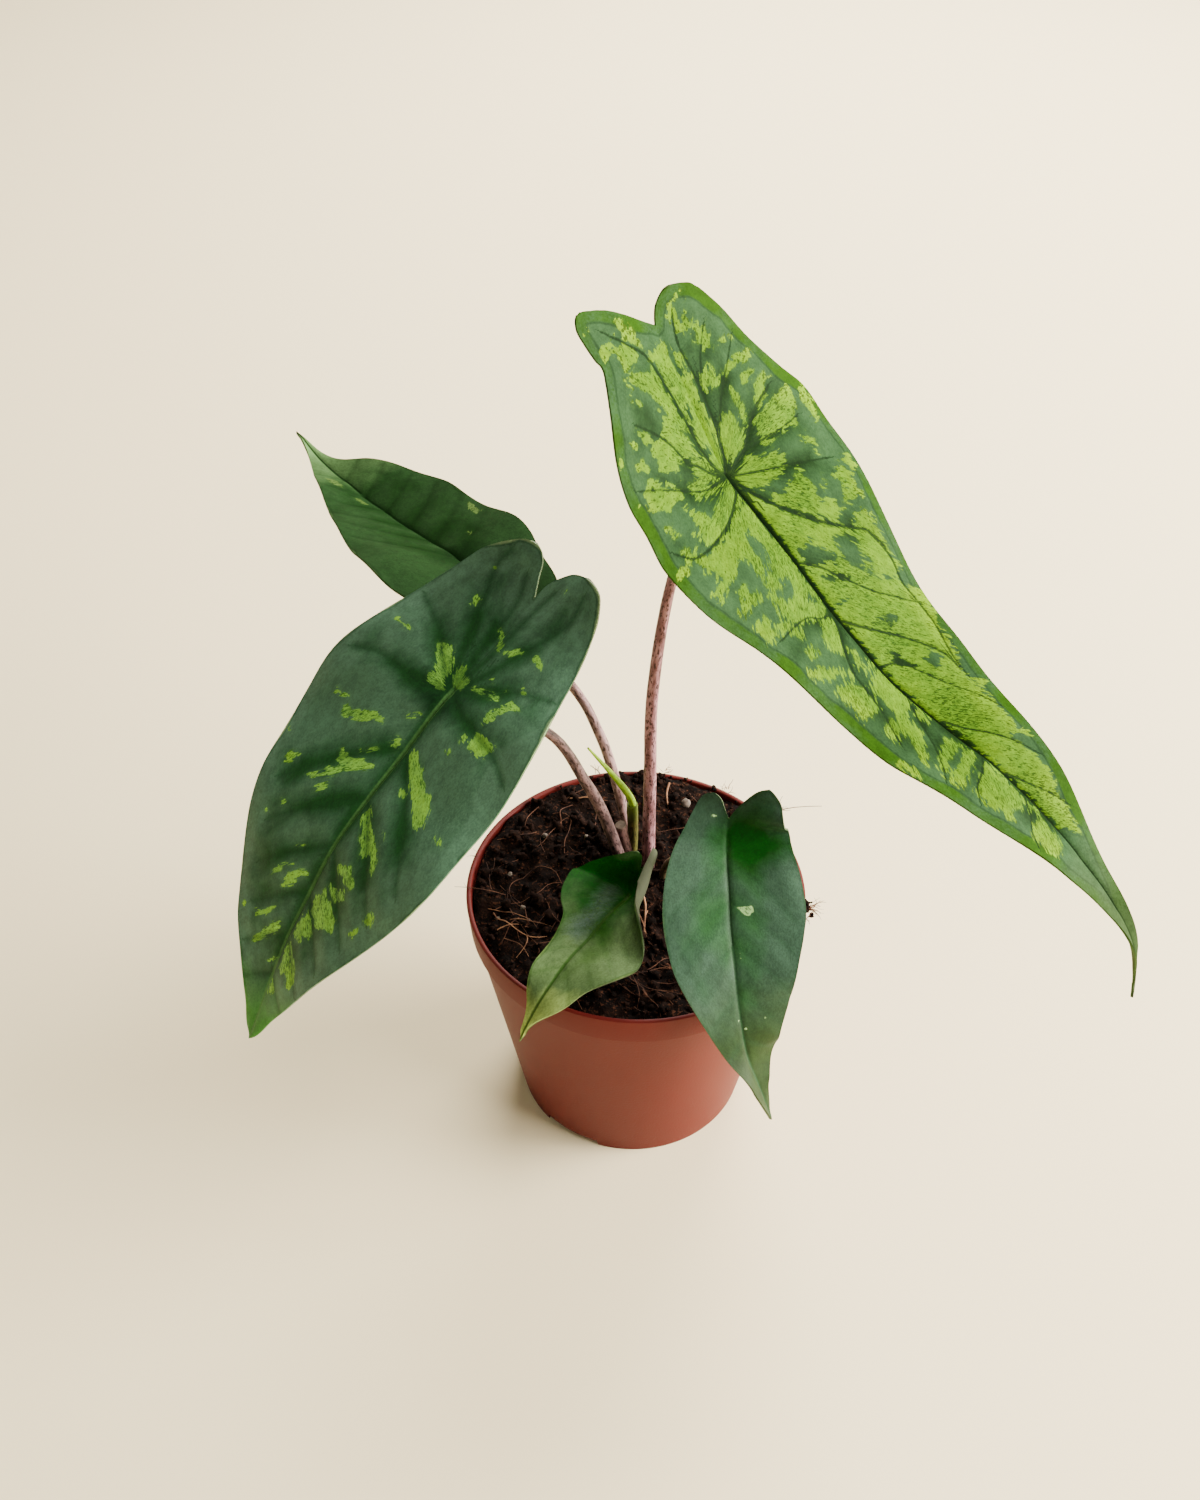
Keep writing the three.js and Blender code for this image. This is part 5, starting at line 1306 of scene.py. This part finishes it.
# Painted sheen: the reflection where the blade was folded beside the midrib, drawn as a soft pale
# splash
YOUNG_SHEEN = [
    [(0, 5.5), (8, 4), (16, 2), (26, 1.5), (31, 3), (30, 7), (24, 8), (16, 6), (8, 8), (2, 8)],
]
young = blade("youngest", YOUNG_VEINS, YOUNG_SHEEN, [], 1.0, 0.3, 0.7)
# The pale colours here paint that sheen, a painted reflection, and not paler skin
young.data.materials.append(leaf_skin(
    "young_leaf_skin", ground=("#33501c", "#4d633c"), pale=("#33473b", "#4d5e52"),
    band=("#62783e", 0.1), vein=("#274415", 0.3, 1.5), midrib=("#264412", 0.7),
    heart=("#043803", 0, 12, 30), tip=("#c5df75", 54, 74), under=("#3c4232", "#45493a"),
    jag=1.5, roughness=0.5, gloss=0.02, crisp=3.0))

# Studio: a pale seamless floor, a broad soft window light that wraps from the
# front right round to the back, and a camera that looks down from the front.

bpy.ops.object.select_all(action="DESELECT")
bpy.ops.mesh.primitive_plane_add(size=6, location=(0, 0, 0))
floor = bpy.context.object
floor.name = "studio_floor"
paper, tree, shader = start_material("floor_paper", Base_Color=linear("#f9eabf"), Roughness=0.9,
                                     Specular_IOR_Level=0.2)
floor.data.materials.append(paper)

world = bpy.data.worlds.new("studio")
bpy.context.scene.world = world
world.use_nodes = True
sky = world.node_tree.nodes["Background"]
sky.inputs["Color"].default_value = linear("#fff6ea")
sky.inputs["Strength"].default_value = 0.34

for label, at, size, power in (("window", (1.5, 0.1, 0.5), 1.0, 96),
                               ("window_front", (1.1, -0.4, 0.8), 1.0, 42),
                               ("window_back", (0.3, 1.2, 0.9), 1.0, 48)):
    bpy.ops.object.light_add(type="AREA", location=at)
    lamp = bpy.context.object
    lamp.name = label
    lamp.data.shape = "DISK"
    lamp.data.size = size
    lamp.data.energy = power
    lamp.data.color = linear("#fff8ee")[:3]
    aim = Vector((0, 0, 0.15)) - Vector(at)
    lamp.rotation_euler = aim.to_track_quat("-Z", "Y").to_euler()

CAMERA_AT, CAMERA_TILT, CAMERA_ROLL = (-0.013, -0.418, 0.556), 46.9, 0.4
bpy.ops.object.camera_add(location=CAMERA_AT)
camera = bpy.context.object
tilt = (Matrix.Rotation(math.radians(CAMERA_TILT), 3, "X")
        @ Matrix.Rotation(math.radians(CAMERA_ROLL), 3, "Z"))
camera.rotation_euler = tilt.to_euler()
camera.data.sensor_fit = "VERTICAL"
camera.data.sensor_height = 30
camera.data.lens = 35
bpy.context.scene.camera = camera
